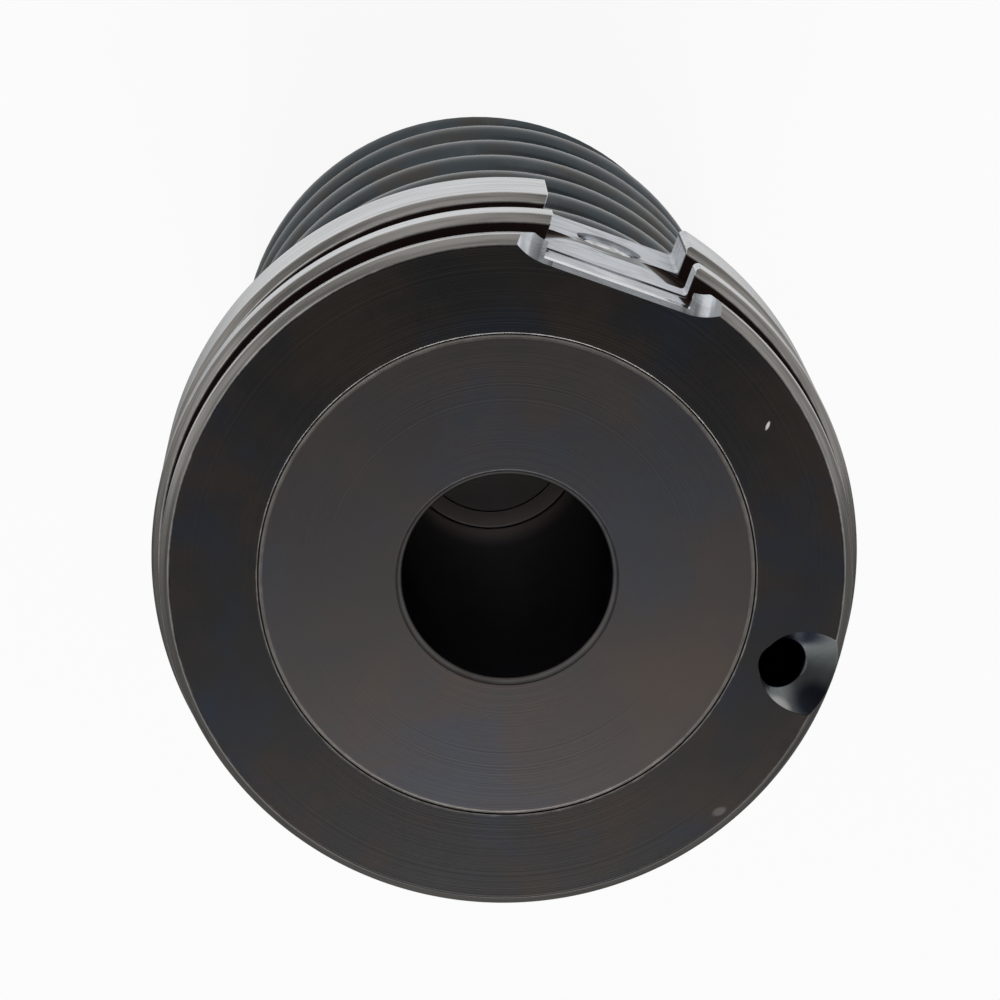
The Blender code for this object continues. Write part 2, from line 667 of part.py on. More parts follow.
def poppet():
    """Head with a 45 degree seat, hollow stem, neck for the stop ring and threaded end."""
    _, floor, chamber_end = pilot_depths()
    fillet_depth = HEAD_RADIUS + HEAD_EDGE - STEM_RADIUS + (math.sqrt(2) - 1) * STEM_FILLET
    fillet_centre = (STEM_RADIUS + STEM_FILLET, fillet_depth)
    plug_bore = PILOT_PLUG_RADIUS + CLEARANCE
    bore_depths = [
        (0.0, chamber_end),
        (PILOT_CHAMBER_RADIUS, chamber_end),
        (PILOT_CHAMBER_RADIUS, floor),
        (plug_bore, floor),
        (plug_bore, BORE_DEPTH - CLEARANCE),
        (BORE_RADIUS, BORE_DEPTH - CLEARANCE),
        (BORE_RADIUS, BORE_CHAMFER),
        (BORE_RADIUS + BORE_CHAMFER, 0.0),
    ]
    head_depths = [
        (HEAD_RADIUS - HEAD_CHAMFER, 0.0),
        (HEAD_RADIUS, HEAD_CHAMFER),
        (HEAD_RADIUS, HEAD_EDGE),
    ]
    stem_depths = [
        (STEM_RADIUS, STOP_RING_TOP - CLEARANCE),
        (STEM_NECK_RADIUS, STOP_RING_TOP - CLEARANCE),
        (STEM_NECK_RADIUS, PLATE_TOP - CLEARANCE),
        (STEM_THREAD_RADIUS, PLATE_TOP - CLEARANCE),
        (STEM_THREAD_RADIUS, PLATE_BOTTOM - CLEARANCE),
        (0.0, PLATE_BOTTOM - CLEARANCE),
    ]
    depths = bore_depths + head_depths + arc(fillet_centre, STEM_FILLET, 225, 180, 4) + stem_depths
    outline = [(radius, z_at(depth)) for radius, depth in depths]
    body = turned("poppet", outline, PARTS, GREY_STEEL, False)
    cross_depth = floor + CROSS_HOLE_RADIUS + 2 * CLEARANCE
    for index in range(CROSS_HOLE_COUNT):
        turn = Matrix.Rotation(math.tau * (index + 0.5) / CROSS_HOLE_COUNT, 4, "Z")
        shift = Matrix.Translation((STEM_RADIUS, 0.0, z_at(cross_depth)))
        frame = turn @ shift @ Matrix.Rotation(math.radians(90), 4, "Y")
        name = "cross_hole_%d" % (index + 1)
        length = 1.5 * STEM_RADIUS
        cut(body, cylinder_cutter(name, CROSS_HOLE_RADIUS, length, frame, None, 16))
    cut(body, plate_pin_cutter("stem_pin_hole"))
    return body


def pilot_plug():
    """Screwed seat at the bottom of the poppet's bore, with a driving slot."""
    plug_end, _, _ = pilot_depths()
    chamfer = PILOT_PLUG_RADIUS / 12
    depths = [
        (PILOT_HOLE_RADIUS, BORE_DEPTH),
        (PILOT_PLUG_RADIUS - chamfer, BORE_DEPTH),
        (PILOT_PLUG_RADIUS, BORE_DEPTH + chamfer),
        (PILOT_PLUG_RADIUS, plug_end),
        (PILOT_HOLE_RADIUS, plug_end),
    ]
    outline = [(radius, z_at(depth)) for radius, depth in depths]
    plug = turned("pilot_plug", outline, PARTS, BRIGHT_STEEL, True, SMALL_SEGMENTS)
    slot_size = (3 * PILOT_PLUG_RADIUS, PILOT_PLUG_RADIUS / 4, PILOT_PLUG_LENGTH / 2)
    slot_frame = Matrix.Translation((0.0, 0.0, z_at(BORE_DEPTH)))
    cut(plug, box_cutter("pilot_plug_slot", slot_size, slot_frame))
    return plug


def pilot_cone():
    """Small poppet with a spring guide, closing the plug's hole from below."""
    plug_end, _, _ = pilot_depths()
    tip_radius = PILOT_HOLE_RADIUS / 2
    tip = plug_end + tip_radius + CLEARANCE * math.sqrt(2) - PILOT_HOLE_RADIUS
    shoulder = tip + PILOT_CONE_RADIUS - tip_radius
    seat = tip + PILOT_CONE_LENGTH
    guide_end = seat + PILOT_STEM_RADIUS * 1.6
    depths = [
        (0.0, tip),
        (tip_radius, tip),
        (PILOT_CONE_RADIUS, shoulder),
        (PILOT_CONE_RADIUS, seat),
        (PILOT_STEM_RADIUS, seat),
        (PILOT_STEM_RADIUS, guide_end),
        (0.0, guide_end),
    ]
    outline = [(radius, z_at(depth)) for radius, depth in depths]
    return turned("pilot_cone", outline, PARTS, BRIGHT_STEEL, False, SMALL_SEGMENTS)


def pilot_spring():
    """Light spring between the pilot cone and the chamber floor."""
    plug_end, _, chamber_end = pilot_depths()
    tip = plug_end + CLEARANCE * math.sqrt(2) - PILOT_HOLE_RADIUS / 2
    top = tip + PILOT_CONE_LENGTH + CLEARANCE + PILOT_WIRE_RADIUS
    bottom = chamber_end - CLEARANCE - PILOT_WIRE_RADIUS

    def heights(turn):
        return z_at(bottom) + (bottom - top) * turn / PILOT_TURNS

    spring = coil("pilot_spring", PILOT_SPRING_RADIUS, PILOT_WIRE_RADIUS, PILOT_TURNS, heights,
                  0.0, PILOT_POINTS_PER_TURN, SPRING_STEEL)
    smooth(spring.data)
    return spring


def plate_pin_frame():
    radius = (STEM_THREAD_RADIUS + CLEARANCE + STEM_NECK_RADIUS) / 2
    return Matrix.Translation((radius, 0.0, z_at(PLATE_TOP)))


def plate_pin_cutter(name):
    radius = PLATE_PIN_RADIUS + CLEARANCE
    length = PLATE_PIN_LENGTH + 2 * CLEARANCE
    return cylinder_cutter(name, radius, length, plate_pin_frame(), None, SMALL_SEGMENTS // 2)


def nut_depths():
    """Top of the tab washer, top of the nut and end of the nut."""
    washer_top = PLATE_TOP + PLATE_WEB + CLEARANCE
    nut_top = washer_top + TAB_WASHER_THICKNESS + CLEARANCE
    return washer_top, nut_top, nut_top + NUT_THICKNESS


def spring_plate():
    """Plate that the valve stands on: spigot inside the spring, recess for the nut below."""
    spigot = SPRING_INNER_RADIUS - CLEARANCE
    bore = STEM_THREAD_RADIUS + CLEARANCE
    recess = NUT_RADIUS + 3 * CLEARANCE
    web_end = PLATE_TOP + PLATE_WEB
    depths = [
        (bore, PLATE_TOP),
        (spigot - PLATE_CHAMFER, PLATE_TOP),
        (spigot, PLATE_TOP + PLATE_CHAMFER),
        (spigot, PLATE_SEAT),
        (PLATE_RADIUS - PLATE_CHAMFER, PLATE_SEAT),
        (PLATE_RADIUS, PLATE_SEAT + PLATE_CHAMFER),
        (PLATE_RADIUS, PLATE_BOTTOM - PLATE_CHAMFER),
        (PLATE_RADIUS - PLATE_CHAMFER, PLATE_BOTTOM),
        (recess, PLATE_BOTTOM),
        (recess, web_end),
        (bore, web_end),
    ]
    outline = [(radius, z_at(depth)) for radius, depth in depths]
    plate = turned("spring_plate", outline, PARTS, DARK_STEEL)
    cut(plate, plate_pin_cutter("plate_pin_hole"))
    return plate


def tab_washer():
    """Locking washer with one tab bent down into a slot of the nut."""
    washer_top, nut_top, nut_end = nut_depths()
    washer_end = washer_top + TAB_WASHER_THICKNESS
    bore = STEM_THREAD_RADIUS + CLEARANCE
    washer = ring("tab_washer", bore, NUT_RADIUS, washer_top, washer_end, BRIGHT_STEEL,
                  SMALL_SEGMENTS)
    outside = NUT_RADIUS - NUT_SLOT_DEPTH + CLEARANCE + TAB_WASHER_THICKNESS
    tab_end = nut_end - NUT_THICKNESS / 4
    size = (TAB_WASHER_THICKNESS, TAB_WIDTH, tab_end - washer_end + TAB_WASHER_THICKNESS / 2)
    middle = (outside - TAB_WASHER_THICKNESS / 2, 0.0, z_at(tab_end) + size[2] / 2)
    cut(washer, box_cutter("washer_tab", size, Matrix.Translation(middle)), "UNION")
    return washer


def lock_nut():
    """Round nut with slots for a hook spanner."""
    _, nut_top, nut_end = nut_depths()
    chamfer = NUT_THICKNESS / 8
    bore = STEM_THREAD_RADIUS + CLEARANCE
    depths = [
        (bore, nut_top),
        (NUT_RADIUS - chamfer, nut_top),
        (NUT_RADIUS, nut_top + chamfer),
        (NUT_RADIUS, nut_end - chamfer),
        (NUT_RADIUS - chamfer, nut_end),
        (bore, nut_end),
    ]
    outline = [(radius, z_at(depth)) for radius, depth in depths]
    nut = turned("lock_nut", outline, PARTS, BLACK_STEEL, True, SMALL_SEGMENTS)
    for index in range(NUT_SLOT_COUNT):
        turn = Matrix.Rotation(math.tau * index / NUT_SLOT_COUNT, 4, "Z")
        reach = NUT_RADIUS
        centre = NUT_RADIUS - NUT_SLOT_DEPTH + reach / 2
        shift = Matrix.Translation((centre, 0.0, z_at((nut_top + nut_end) / 2)))
        size = (reach, NUT_SLOT_WIDTH, 2 * NUT_THICKNESS)
        cut(nut, box_cutter("nut_slot_%d" % (index + 1), size, turn @ shift))
    return nut


def add_axis_empty(name, depth, pieces):
    """Empty on the valve's axis that carries the pieces of one moving body."""
    empty = bpy.data.objects.new(name, None)
    PARTS.objects.link(empty)
    empty.location = (0.0, 0.0, z_at(depth))
    bpy.context.view_layer.update()
    for piece in pieces:
        piece.parent = empty
        piece.matrix_parent_inverse = empty.matrix_world.inverted()
    return empty


def build():
    """Make every piece, then carry the moving ones on their axis."""
    seat_collar()
    notch_plug()
    control_orifice()
    guide_cage()
    cage_snap_ring()
    dowel("cage_pin", CAGE_PIN_RADIUS, CAGE_PIN_LENGTH, cage_pin_frame(), BRIGHT_STEEL)
    guide_bushes()
    ring("spring_washer", CAGE_TUBE_RADIUS + CLEARANCE, SPRING_OUTER_RADIUS, WASHER_TOP,
         WASHER_TOP + WASHER_THICKNESS, DARK_STEEL)
    closing_spring()
    stop_bore = STEM_NECK_RADIUS + CLEARANCE
    cone = pilot_cone()
    lifted = [
        poppet(),
        pilot_plug(),
        pilot_spring(),
        ring("stop_ring", stop_bore, STOP_RING_RADIUS, STOP_RING_TOP, PLATE_TOP - CLEARANCE,
             DARK_STEEL),
        dowel("plate_pin", PLATE_PIN_RADIUS, PLATE_PIN_LENGTH, plate_pin_frame(), BRIGHT_STEEL),
        spring_plate(),
        ring("spring_shim", SPRING_INNER_RADIUS, PLATE_RADIUS, SHIM_TOP,
             SHIM_TOP + SHIM_THICKNESS, BRIGHT_STEEL),
        tab_washer(),
        lock_nut(),
        cone,
    ]
    add_axis_empty("poppet_axis", 0.0, lifted)


remove_all_objects()
PARTS = make_collection("cartridge_valve")
CUTTERS = make_collection("cutters")
BLACK_STEEL = make_material("black_oxide_steel", (0.030, 0.029, 0.030), 0.45)
GREY_STEEL = make_material("grey_hardened_steel", (0.085, 0.078, 0.075), 0.42)
DARK_STEEL = make_material("dark_steel", (0.060, 0.062, 0.065), 0.40)
BRIGHT_STEEL = make_material("bright_steel", (0.55, 0.55, 0.54), 0.28)
SPRING_STEEL = make_material("oil_tempered_spring_steel", (0.055, 0.070, 0.075), 0.35)
BRONZE = make_material("bearing_bronze", (0.45, 0.27, 0.12), 0.35)
BRASS = make_material("brass", (0.60, 0.45, 0.18), 0.30)
build()
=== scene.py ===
import json
import math
from types import SimpleNamespace

import bmesh
import bpy
import numpy as np
from mathutils import Matrix, Vector


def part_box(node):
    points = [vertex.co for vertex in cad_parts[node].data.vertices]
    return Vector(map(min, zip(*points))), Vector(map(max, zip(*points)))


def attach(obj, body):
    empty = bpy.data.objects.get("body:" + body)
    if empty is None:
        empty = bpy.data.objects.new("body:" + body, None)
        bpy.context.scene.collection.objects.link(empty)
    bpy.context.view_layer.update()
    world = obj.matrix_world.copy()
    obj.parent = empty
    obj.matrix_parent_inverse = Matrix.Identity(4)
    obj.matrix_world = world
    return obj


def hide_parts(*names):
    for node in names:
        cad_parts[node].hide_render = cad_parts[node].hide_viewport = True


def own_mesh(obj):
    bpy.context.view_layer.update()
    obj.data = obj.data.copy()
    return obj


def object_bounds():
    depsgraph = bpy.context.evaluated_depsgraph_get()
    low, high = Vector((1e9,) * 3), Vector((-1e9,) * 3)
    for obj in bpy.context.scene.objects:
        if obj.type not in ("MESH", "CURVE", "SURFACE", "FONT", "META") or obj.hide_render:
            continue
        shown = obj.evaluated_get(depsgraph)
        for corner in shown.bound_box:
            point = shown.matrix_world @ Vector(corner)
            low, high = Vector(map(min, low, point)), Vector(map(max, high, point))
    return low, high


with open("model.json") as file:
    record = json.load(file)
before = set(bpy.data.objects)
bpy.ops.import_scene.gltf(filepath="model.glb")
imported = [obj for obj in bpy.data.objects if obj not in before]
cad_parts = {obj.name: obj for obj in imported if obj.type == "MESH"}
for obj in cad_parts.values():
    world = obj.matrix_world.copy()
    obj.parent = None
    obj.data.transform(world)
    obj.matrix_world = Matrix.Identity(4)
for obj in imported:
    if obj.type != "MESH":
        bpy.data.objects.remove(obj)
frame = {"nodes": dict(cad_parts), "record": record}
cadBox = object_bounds()
mm = 0.001
faceHeight = cadBox[1].z  # the control face is the top of the valve
print("frame loaded:", len(frame["nodes"]), "pieces, face at", round(faceHeight / mm, 2), "mm")


def named(values):
    # Lets a dictionary of sizes or looks be read as size.radius.
    return SimpleNamespace(**values)


def below(x, y, depth):
    # A place in mm beside the axis and below the control face becomes (x, y, z) in metres.
    return x * mm, y * mm, faceHeight - depth * mm


def moved(x, y, depth):
    # Carries a piece to a place below the control face.
    return Matrix.Translation(below(x, y, depth))


def turned(degrees, axis="Z"):
    # Turns a piece by an angle about one axis.
    return Matrix.Rotation(math.radians(degrees), 4, axis)


def roundedCorners(corners, steps):
    # Each corner (radius, depth, rounding) becomes a curve from one tangent point to the other:
    # (1-s)^2 A + 2s(1-s) P + s^2 B, with A and B one rounding length back along both sides.
    # A support point just outside every curve keeps the flats flat when the shading is smooth.
    table = np.array(corners, float)
    point = np.stack([table[:, 0], -table[:, 1]], 1)
    before = np.roll(point, 1, 0) - point
    after = np.roll(point, -1, 0) - point
    beforeLength = np.maximum(np.linalg.norm(before, axis=1, keepdims=True), 1e-9)
    afterLength = np.maximum(np.linalg.norm(after, axis=1, keepdims=True), 1e-9)
    before, after = before / beforeLength, after / afterLength
    reach = np.minimum(table[:, 2:3], 0.42 * np.minimum(beforeLength, afterLength))
    share = np.linspace(0, 1, steps + 1)[None, :, None]
    start = (point + before * reach)[:, None]
    stop = (point + after * reach)[:, None]
    curve = (1 - share) ** 2 * start + 2 * share * (1 - share) * point[:, None] + share ** 2 * stop
    margin = np.minimum(0.06, 0.25 * reach)
    head = start + (before * margin)[:, None]
    tail = stop + (after * margin)[:, None]
    return np.concatenate([head, curve, tail], 1).reshape(-1, 2)


def meshFromGrid(name, grid, closeRows, closeColumns):
    # grid[row, column] is a point; quads join neighbours, and the last row or column can join the first.
    rows, columns = grid.shape[:2]
    index = np.arange(rows * columns).reshape(rows, columns)
    if closeRows:
        index = np.vstack([index, index[:1]])
    if closeColumns:
        index = np.hstack([index, index[:, :1]])
    quads = np.stack([index[:-1, :-1], index[:-1, 1:], index[1:, 1:], index[1:, :-1]], -1).reshape(-1, 4)
    mesh = bpy.data.meshes.new(name)
    mesh.vertices.add(rows * columns)
    mesh.vertices.foreach_set("co", grid.reshape(-1).astype(np.float32))
    mesh.loops.add(quads.size)
    mesh.loops.foreach_set("vertex_index", quads.reshape(-1).astype(np.int32))
    mesh.polygons.add(len(quads))
    mesh.polygons.foreach_set("loop_start", np.arange(0, quads.size, 4, dtype=np.int32))
    mesh.update(calc_edges=True)
    mesh.validate()
    return mesh


def sealMesh(mesh, sharpAngle=32):
    # Doubles at poles and seams are merged, all faces turned outwards, hard corners kept crisp.
    build = bmesh.new()
    build.from_mesh(mesh)
    bmesh.ops.remove_doubles(build, verts=build.verts, dist=2e-7)
    bmesh.ops.dissolve_degenerate(build, edges=build.edges, dist=1e-7)
    bmesh.ops.triangulate(build, faces=[face for face in build.faces if len(face.verts) > 4])
    bmesh.ops.recalc_face_normals(build, faces=build.faces)
    build.to_mesh(mesh)
    build.free()
    mesh.shade_smooth()
    mesh.set_sharp_from_angle(angle=math.radians(sharpAngle))
    return mesh


def newObject(name, data):
    # Puts a mesh, a lamp or a camera into the scene.
    piece = bpy.data.objects.new(name, data)
    bpy.context.scene.collection.objects.link(piece)
    return piece


def turnedPiece(name, corners, segments, steps=4, place=None):
    # A closed profile of (radius, depth) in mm is carried once round the axis, and depth counts
    # down from the control face unless a place is given: x = r cos(a), y = r sin(a), z = -depth.
    profile = roundedCorners(corners, steps)
    angle = np.linspace(0, 2 * math.pi, segments, endpoint=False)[None, :]
    radius = np.maximum(profile[:, 0:1], 0.0) * mm
    height = np.broadcast_to(profile[:, 1:2] * mm, (len(profile), segments))
    grid = np.stack([radius * np.cos(angle), radius * np.sin(angle), height], -1)
    mesh = meshFromGrid(name, grid, True, True)
    mesh.transform(place or moved(0, 0, 0))
    return newObject(name, sealMesh(mesh))


def coilPiece(name, size, turns, heightAt, limits, startAngle, perTurn, around):
    # A round wire on a helix: centre (R cos t, R sin t, h(t)), section radius w about it. Where it
    # would pass the two ground planes it is cut off flat along the chord of its section.
    wireRadius = size.wireRadius * mm
    bottomLimit, topLimit = limits
    count = int(round((turns[1] - turns[0]) * perTurn)) + 1
    turn = np.linspace(*turns, count)
    angle = math.radians(startAngle) + 2 * math.pi * turn
    out = np.stack([np.cos(angle), np.sin(angle), np.zeros(count)], 1)
    centre = out * (size.meanRadius * mm)
    centre[:, 2] = heightAt(turn)
    along = np.gradient(centre, axis=0)
    along /= np.linalg.norm(along, axis=1, keepdims=True)
    lift = np.cross(along, out)
    section = np.linspace(0, 2 * math.pi, around, endpoint=False)
    sideways, upright = np.cos(section)[None, :] * wireRadius, np.sin(section)[None, :] * wireRadius
    level = centre[:, 2:3] + upright * lift[:, 2:3]
    over = np.clip((topLimit - centre[:, 2:3]) / wireRadius, -1, 1)
    under = np.clip((centre[:, 2:3] - bottomLimit) / wireRadius, -1, 1)
    overHalf, underHalf = wireRadius * np.sqrt(1 - over ** 2), wireRadius * np.sqrt(1 - under ** 2)
    sideways = np.where(level > topLimit, np.clip(sideways, -overHalf, overHalf), sideways)
    sideways = np.where(level < bottomLimit, np.clip(sideways, -underHalf, underHalf), sideways)
    grid = centre[:, None] + sideways[..., None] * out[:, None] + upright[..., None] * lift[:, None]
    grid[..., 2] = np.clip(grid[..., 2], bottomLimit, topLimit)
    mesh = meshFromGrid(name, grid, False, True)
    build = bmesh.new()
    build.from_mesh(mesh)
    bmesh.ops.holes_fill(build, edges=[edge for edge in build.edges if edge.is_boundary], sides=0)
    build.to_mesh(mesh)
    build.free()
    return newObject(name, sealMesh(mesh, 40))


def cutAway(piece, mesh):
    # An exact cut, made real at once so that the finished piece has no cutter left.
    cutter = newObject("cutter", mesh)
    cut = piece.modifiers.new("cut", "BOOLEAN")
    cut.operation = "DIFFERENCE"
    cut.solver = "EXACT"
    cut.object = cutter
    graph = bpy.context.evaluated_depsgraph_get()
    made = bpy.data.meshes.new_from_object(piece.evaluated_get(graph))
    piece.modifiers.remove(cut)
    old = piece.data
    made.name = piece.name
    piece.data = made
    bpy.data.meshes.remove(old)
    bpy.data.objects.remove(cutter)
    bpy.data.meshes.remove(mesh)


def slabMesh(name, near, far, place=None):
    # Two like outlines joined by side walls, turned into place when one is given.
    count = len(near)
    index = np.arange(count)
    after = (index + 1) % count
    sides = np.stack([index, after, after + count, index + count], 1).tolist()
    ends = [list(range(count)), list(range(count, 2 * count))]
    mesh = bpy.data.meshes.new(name)
    mesh.from_pydata(np.vstack([near, far]).tolist(), [], ends + sides)
    sealMesh(mesh)
    if place:
        mesh.transform(place)
    return mesh


def coneMesh(name, lowRadius, highRadius, low, high, segments, place):
    # A cylinder or cone in mm along its own axis from low to high, then put in place.
    angle = np.linspace(0, 2 * math.pi, segments, endpoint=False)[None, :]
    radius = np.array([0, lowRadius, highRadius, 0])[:, None] * mm
    height = np.broadcast_to(np.array([low, low, high, high])[:, None] * mm, (4, segments))
    grid = np.stack([radius * np.cos(angle), radius * np.sin(angle), height], -1)
    mesh = sealMesh(meshFromGrid(name, grid, False, True))
    mesh.transform(place)
    return mesh


class Wire:
    # A node's output that adds, subtracts, multiplies and divides like a number.
    def __init__(self, socket):
        self.socket = socket

    def __add__(self, other):
        return calc("ADD", self, other)

    def __radd__(self, other):
        return calc("ADD", other, self)

    def __sub__(self, other):
        return calc("SUBTRACT", self, other)

    def __rsub__(self, other):
        return calc("SUBTRACT", other, self)

    def __mul__(self, other):
        return calc("MULTIPLY", self, other)

    def __truediv__(self, other):
        return calc("DIVIDE", self, other)


def wiresOf(node):
    # A node's outputs by number and by name.
    wires = [Wire(socket) for socket in node.outputs]
    return {**dict(enumerate(wires)), **{wire.socket.name: wire for wire in wires}}


def link(value, socket):
    # Fills a socket with a wire or with a plain value.
    if isinstance(value, Wire):
        socket.id_data.links.new(value.socket, socket)
    else:
        socket.default_value = value


def addNode(kind, sockets, tree=None, **settings):
    # Makes a node in the tree that its wires come from, or in the given one, and returns its outputs.
    tree = tree or next(value.socket.id_data for value in sockets.values() if isinstance(value, Wire))
    node = tree.nodes.new("ShaderNode" + kind)
    for key, value in settings.items():
        setattr(node, key, value)
    for key, value in sockets.items():
        link(value, node.inputs[key])
    return wiresOf(node)


def calc(operation, first, second=0.0, third=None, clamp=False):
    # One step of arithmetic on two or three numbers.
    values = {0: first, 1: second}
    if third is not None:
        values[2] = third
    return addNode("Math", values, operation=operation, use_clamp=clamp)[0]


def strongest(total, *masks):
    # The highest of several masks.
    for mask in masks:
        total = calc("MAXIMUM", total, mask)
    return total


def spread(value, amount):
    # Turns a 0 to 1 noise into a small shift either way.
    return (value - 0.5) * amount


def vectorCalc(operation, first, second=None):
    # A length, distance or dot product is one number, any other result a vector.
    values = {0: first} if second is None else {0: first, 1: second}
    result = addNode("VectorMath", values, operation=operation)
    return result["Value"] if operation in ("LENGTH", "DISTANCE", "DOT_PRODUCT") else result[0]


def joinAxes(x=0.0, y=0.0, z=0.0):
    # One vector of three numbers.
    return addNode("CombineXYZ", {0: x, 1: y, 2: z})[0]


def noise(place, scale, detail=2.0, roughness=0.5, distortion=0.0):
    # Soft random clouds between 0 and 1, so many per mm.
    sockets = {"Vector": place, "Scale": scale, "Detail": detail, "Roughness": roughness}
    return addNode("TexNoise", {**sockets, "Distortion": distortion})["Fac"]


def ramp(value, low, high, start=0.0, stop=1.0, shape="LINEAR"):
    # Carries low to high over to start to stop and stays level beyond both.
    sockets = {"Value": value, "From Min": low, "From Max": high, "To Min": start, "To Max": stop}
    return addNode("MapRange", sockets, interpolation_type=shape)[0]


def stepMask(value, low, high, start=0.0, stop=1.0):
    # The same with a soft start and stop.
    return ramp(value, low, high, start, stop, "SMOOTHSTEP")


def blendValues(factor, first, second):
    # The first at 0, the second at 1, in proportion between.
    return addNode("Mix", {0: factor, 2: first, 3: second}, data_type="FLOAT")[0]


def blendColours(factor, first, second):
    # The same for two colours.
    pair = [(*value, 1.0) if isinstance(value, tuple) else value for value in (first, second)]
    return addNode("Mix", {0: factor, 6: pair[0], 7: pair[1]}, data_type="RGBA")[2]


def toned(colour, factor):
    # A colour made lighter or darker by a factor.
    return tuple(min(1.0, factor * value) for value in colour)


def startGroup(name, inputs, outputs):
    # An input's default gives its kind: a number, a colour of four values, or None for a vector.
    group = bpy.data.node_groups.new(name, "ShaderNodeTree")
    for label, value in inputs.items():
        kind = "Vector" if value is None else "Color" if isinstance(value, tuple) else "Float"
        socket = group.interface.new_socket(name=label, in_out="INPUT", socket_type="NodeSocket" + kind)
        if value is not None:
            socket.default_value = value
    for label, kind in outputs.items():
        group.interface.new_socket(name=label, in_out="OUTPUT", socket_type="NodeSocket" + kind)
    given = wiresOf(group.nodes.new("NodeGroupInput"))
    return group, given, group.nodes.new("NodeGroupOutput").inputs


def axisCoordinates():
    # Radius from the axis, depth below the face and both as one vector, in mm, from Object coordinates.
    kinds = {"Radius": "Float", "Depth": "Float", "Lathe": "Vector", "Object": "Vector"}
    group, given, result = startGroup("axisCoordinates", {}, kinds)
    place = addNode("TexCoord", {}, group)["Object"]
    scaled = vectorCalc("MULTIPLY", place, (1000, 1000, 1000))
    parts = addNode("SeparateXYZ", {0: scaled})
    radius = vectorCalc("LENGTH", joinAxes(parts[0], parts[1]))
    depth = faceHeight / mm - parts[2]
    for label, value in zip(kinds, (radius, depth, joinAxes(radius, depth), scaled)):
        link(value, result[label])
    return group


def turningMarks():
    # Fine rings left by the tool: noise that changes only with radius and depth, with a little
    # unevenness round the piece.
    inputs = {"Lathe": None, "Object": None, "Per mm": 8.0, "Waver": 0.02}
    group, given, result = startGroup("turningMarks", inputs, {"Marks": "Float"})
    drift = noise(given["Object"], 0.25) * given["Waver"]
    shifted = vectorCalc("ADD", given["Lathe"], drift)
    link(noise(shifted, given["Per mm"], 3.0, 0.62), result["Marks"])
    return group


def oxideClouds():
    # Soft brown and blue clouds of a blackened skin: two noises at different places.
    inputs = {"Object": None, "Size": 0.09, "Dark": (0.03, 0.03, 0.03, 1)}
    inputs.update({"Brown": (0.045, 0.034, 0.028, 1), "Blue": (0.03, 0.033, 0.042, 1)})
    group, given, result = startGroup("oxideClouds", inputs, {"Colour": "Color", "Cloud": "Float"})
    big = noise(given["Object"], given["Size"], 5.0, 0.55)
    offset = vectorCalc("ADD", given["Object"], (31.0, 17.0, 5.0))
    other = noise(offset, given["Size"], 5.0, 0.6)
    tint = blendColours(stepMask(big, 0.45, 0.68), given["Dark"], given["Brown"])
    tint = blendColours(stepMask(other, 0.48, 0.70), tint, given["Blue"])
    link(tint, result["Colour"])
    link(big, result["Cloud"])
    return group


def ringEdge():
    # 1 on a turned edge, falling to 0 at Width from it; the edge is one circle at a radius and depth.
    inputs = {"Lathe": None, "Radius": 20.0, "Depth": 0.0, "Width": 0.3, "Chips": 0.0}
    group, given, result = startGroup("ringEdge", inputs, {"Mask": "Float"})
    edge = joinAxes(given["Radius"], given["Depth"])
    away = vectorCalc("DISTANCE", given["Lathe"], edge) - given["Chips"]
    mask = calc("SUBTRACT", 1.0, away / given["Width"], clamp=True)
    link(calc("POWER", mask, 1.6), result["Mask"])
    return group


def fineScratches():
    # Short hairline marks in all directions: stretched noise ridges in three turned directions.
    inputs = {"Object": None, "Density": 0.5}
    group, given, result = startGroup("fineScratches", inputs, {"Mask": "Float"})
    lines = []
    for turn, shift in ((0.4, 0.0), (1.7, 40.0), (2.6, 90.0)):
        place = {"Location": (shift, shift, 0.0), "Rotation": (0.0, 0.0, turn), "Scale": (1.9, 0.07, 0.6)}
        mapped = addNode("Mapping", {"Vector": given["Object"], **place})[0]
        ridge = calc("ABSOLUTE", noise(mapped, 1.6, 2.0, 0.4, 0.25) - 0.5)
        lines.append(ramp(ridge, 0.0, 0.006, 1.0, 0.0))
    low = 1.0 - given["Density"]
    gate = ramp(noise(given["Object"], 0.22, 3.0), low, low + 0.12)
    link(strongest(*lines) * gate, result["Mask"])
    return group


def longStreaks():
    # Streaks that run round the axis: noise stretched far along the turning direction.
    inputs = {"Object": None, "Depth": 0.0, "Radius": 0.0, "Across": 1.6}
    group, given, result = startGroup("longStreaks", inputs, {"Streaks": "Float"})
    flat = vectorCalc("MULTIPLY", given["Object"], (0.07, 0.07, 0.0))
    line = (given["Depth"] + given["Radius"] * 0.8) * given["Across"]
    place = vectorCalc("ADD", flat, joinAxes(0.0, 0.0, line))
    link(noise(place, 1.0, 5.0, 0.62), result["Streaks"])
    return group


axisGroup = axisCoordinates()
marksGroup = turningMarks()
cloudGroup = oxideClouds()
edgeGroup = ringEdge()
scratchGroup = fineScratches()
streakGroup = longStreaks()
print("shader groups ready")


def useGroup(group, sockets, tree=None):
    # Places a shader group and returns its outputs.
    return addNode("Group", sockets, tree, node_tree=group)


def startMaterial(name):
    # A metal material, its shader and its axis coordinates.
    material = bpy.data.materials.new(name)
    material.use_nodes = True
    shader = material.node_tree.nodes["Principled BSDF"]
    shader.inputs["Metallic"].default_value = 1.0
    return material, shader, useGroup(axisGroup, {}, material.node_tree)


def colourClouds(axis, size, dark, brown, blue):
    # The blackened skin in three tones.
    colours = {"Dark": (*dark, 1), "Brown": (*brown, 1), "Blue": (*blue, 1)}
    return useGroup(cloudGroup, {"Object": axis["Object"], "Size": size, **colours})


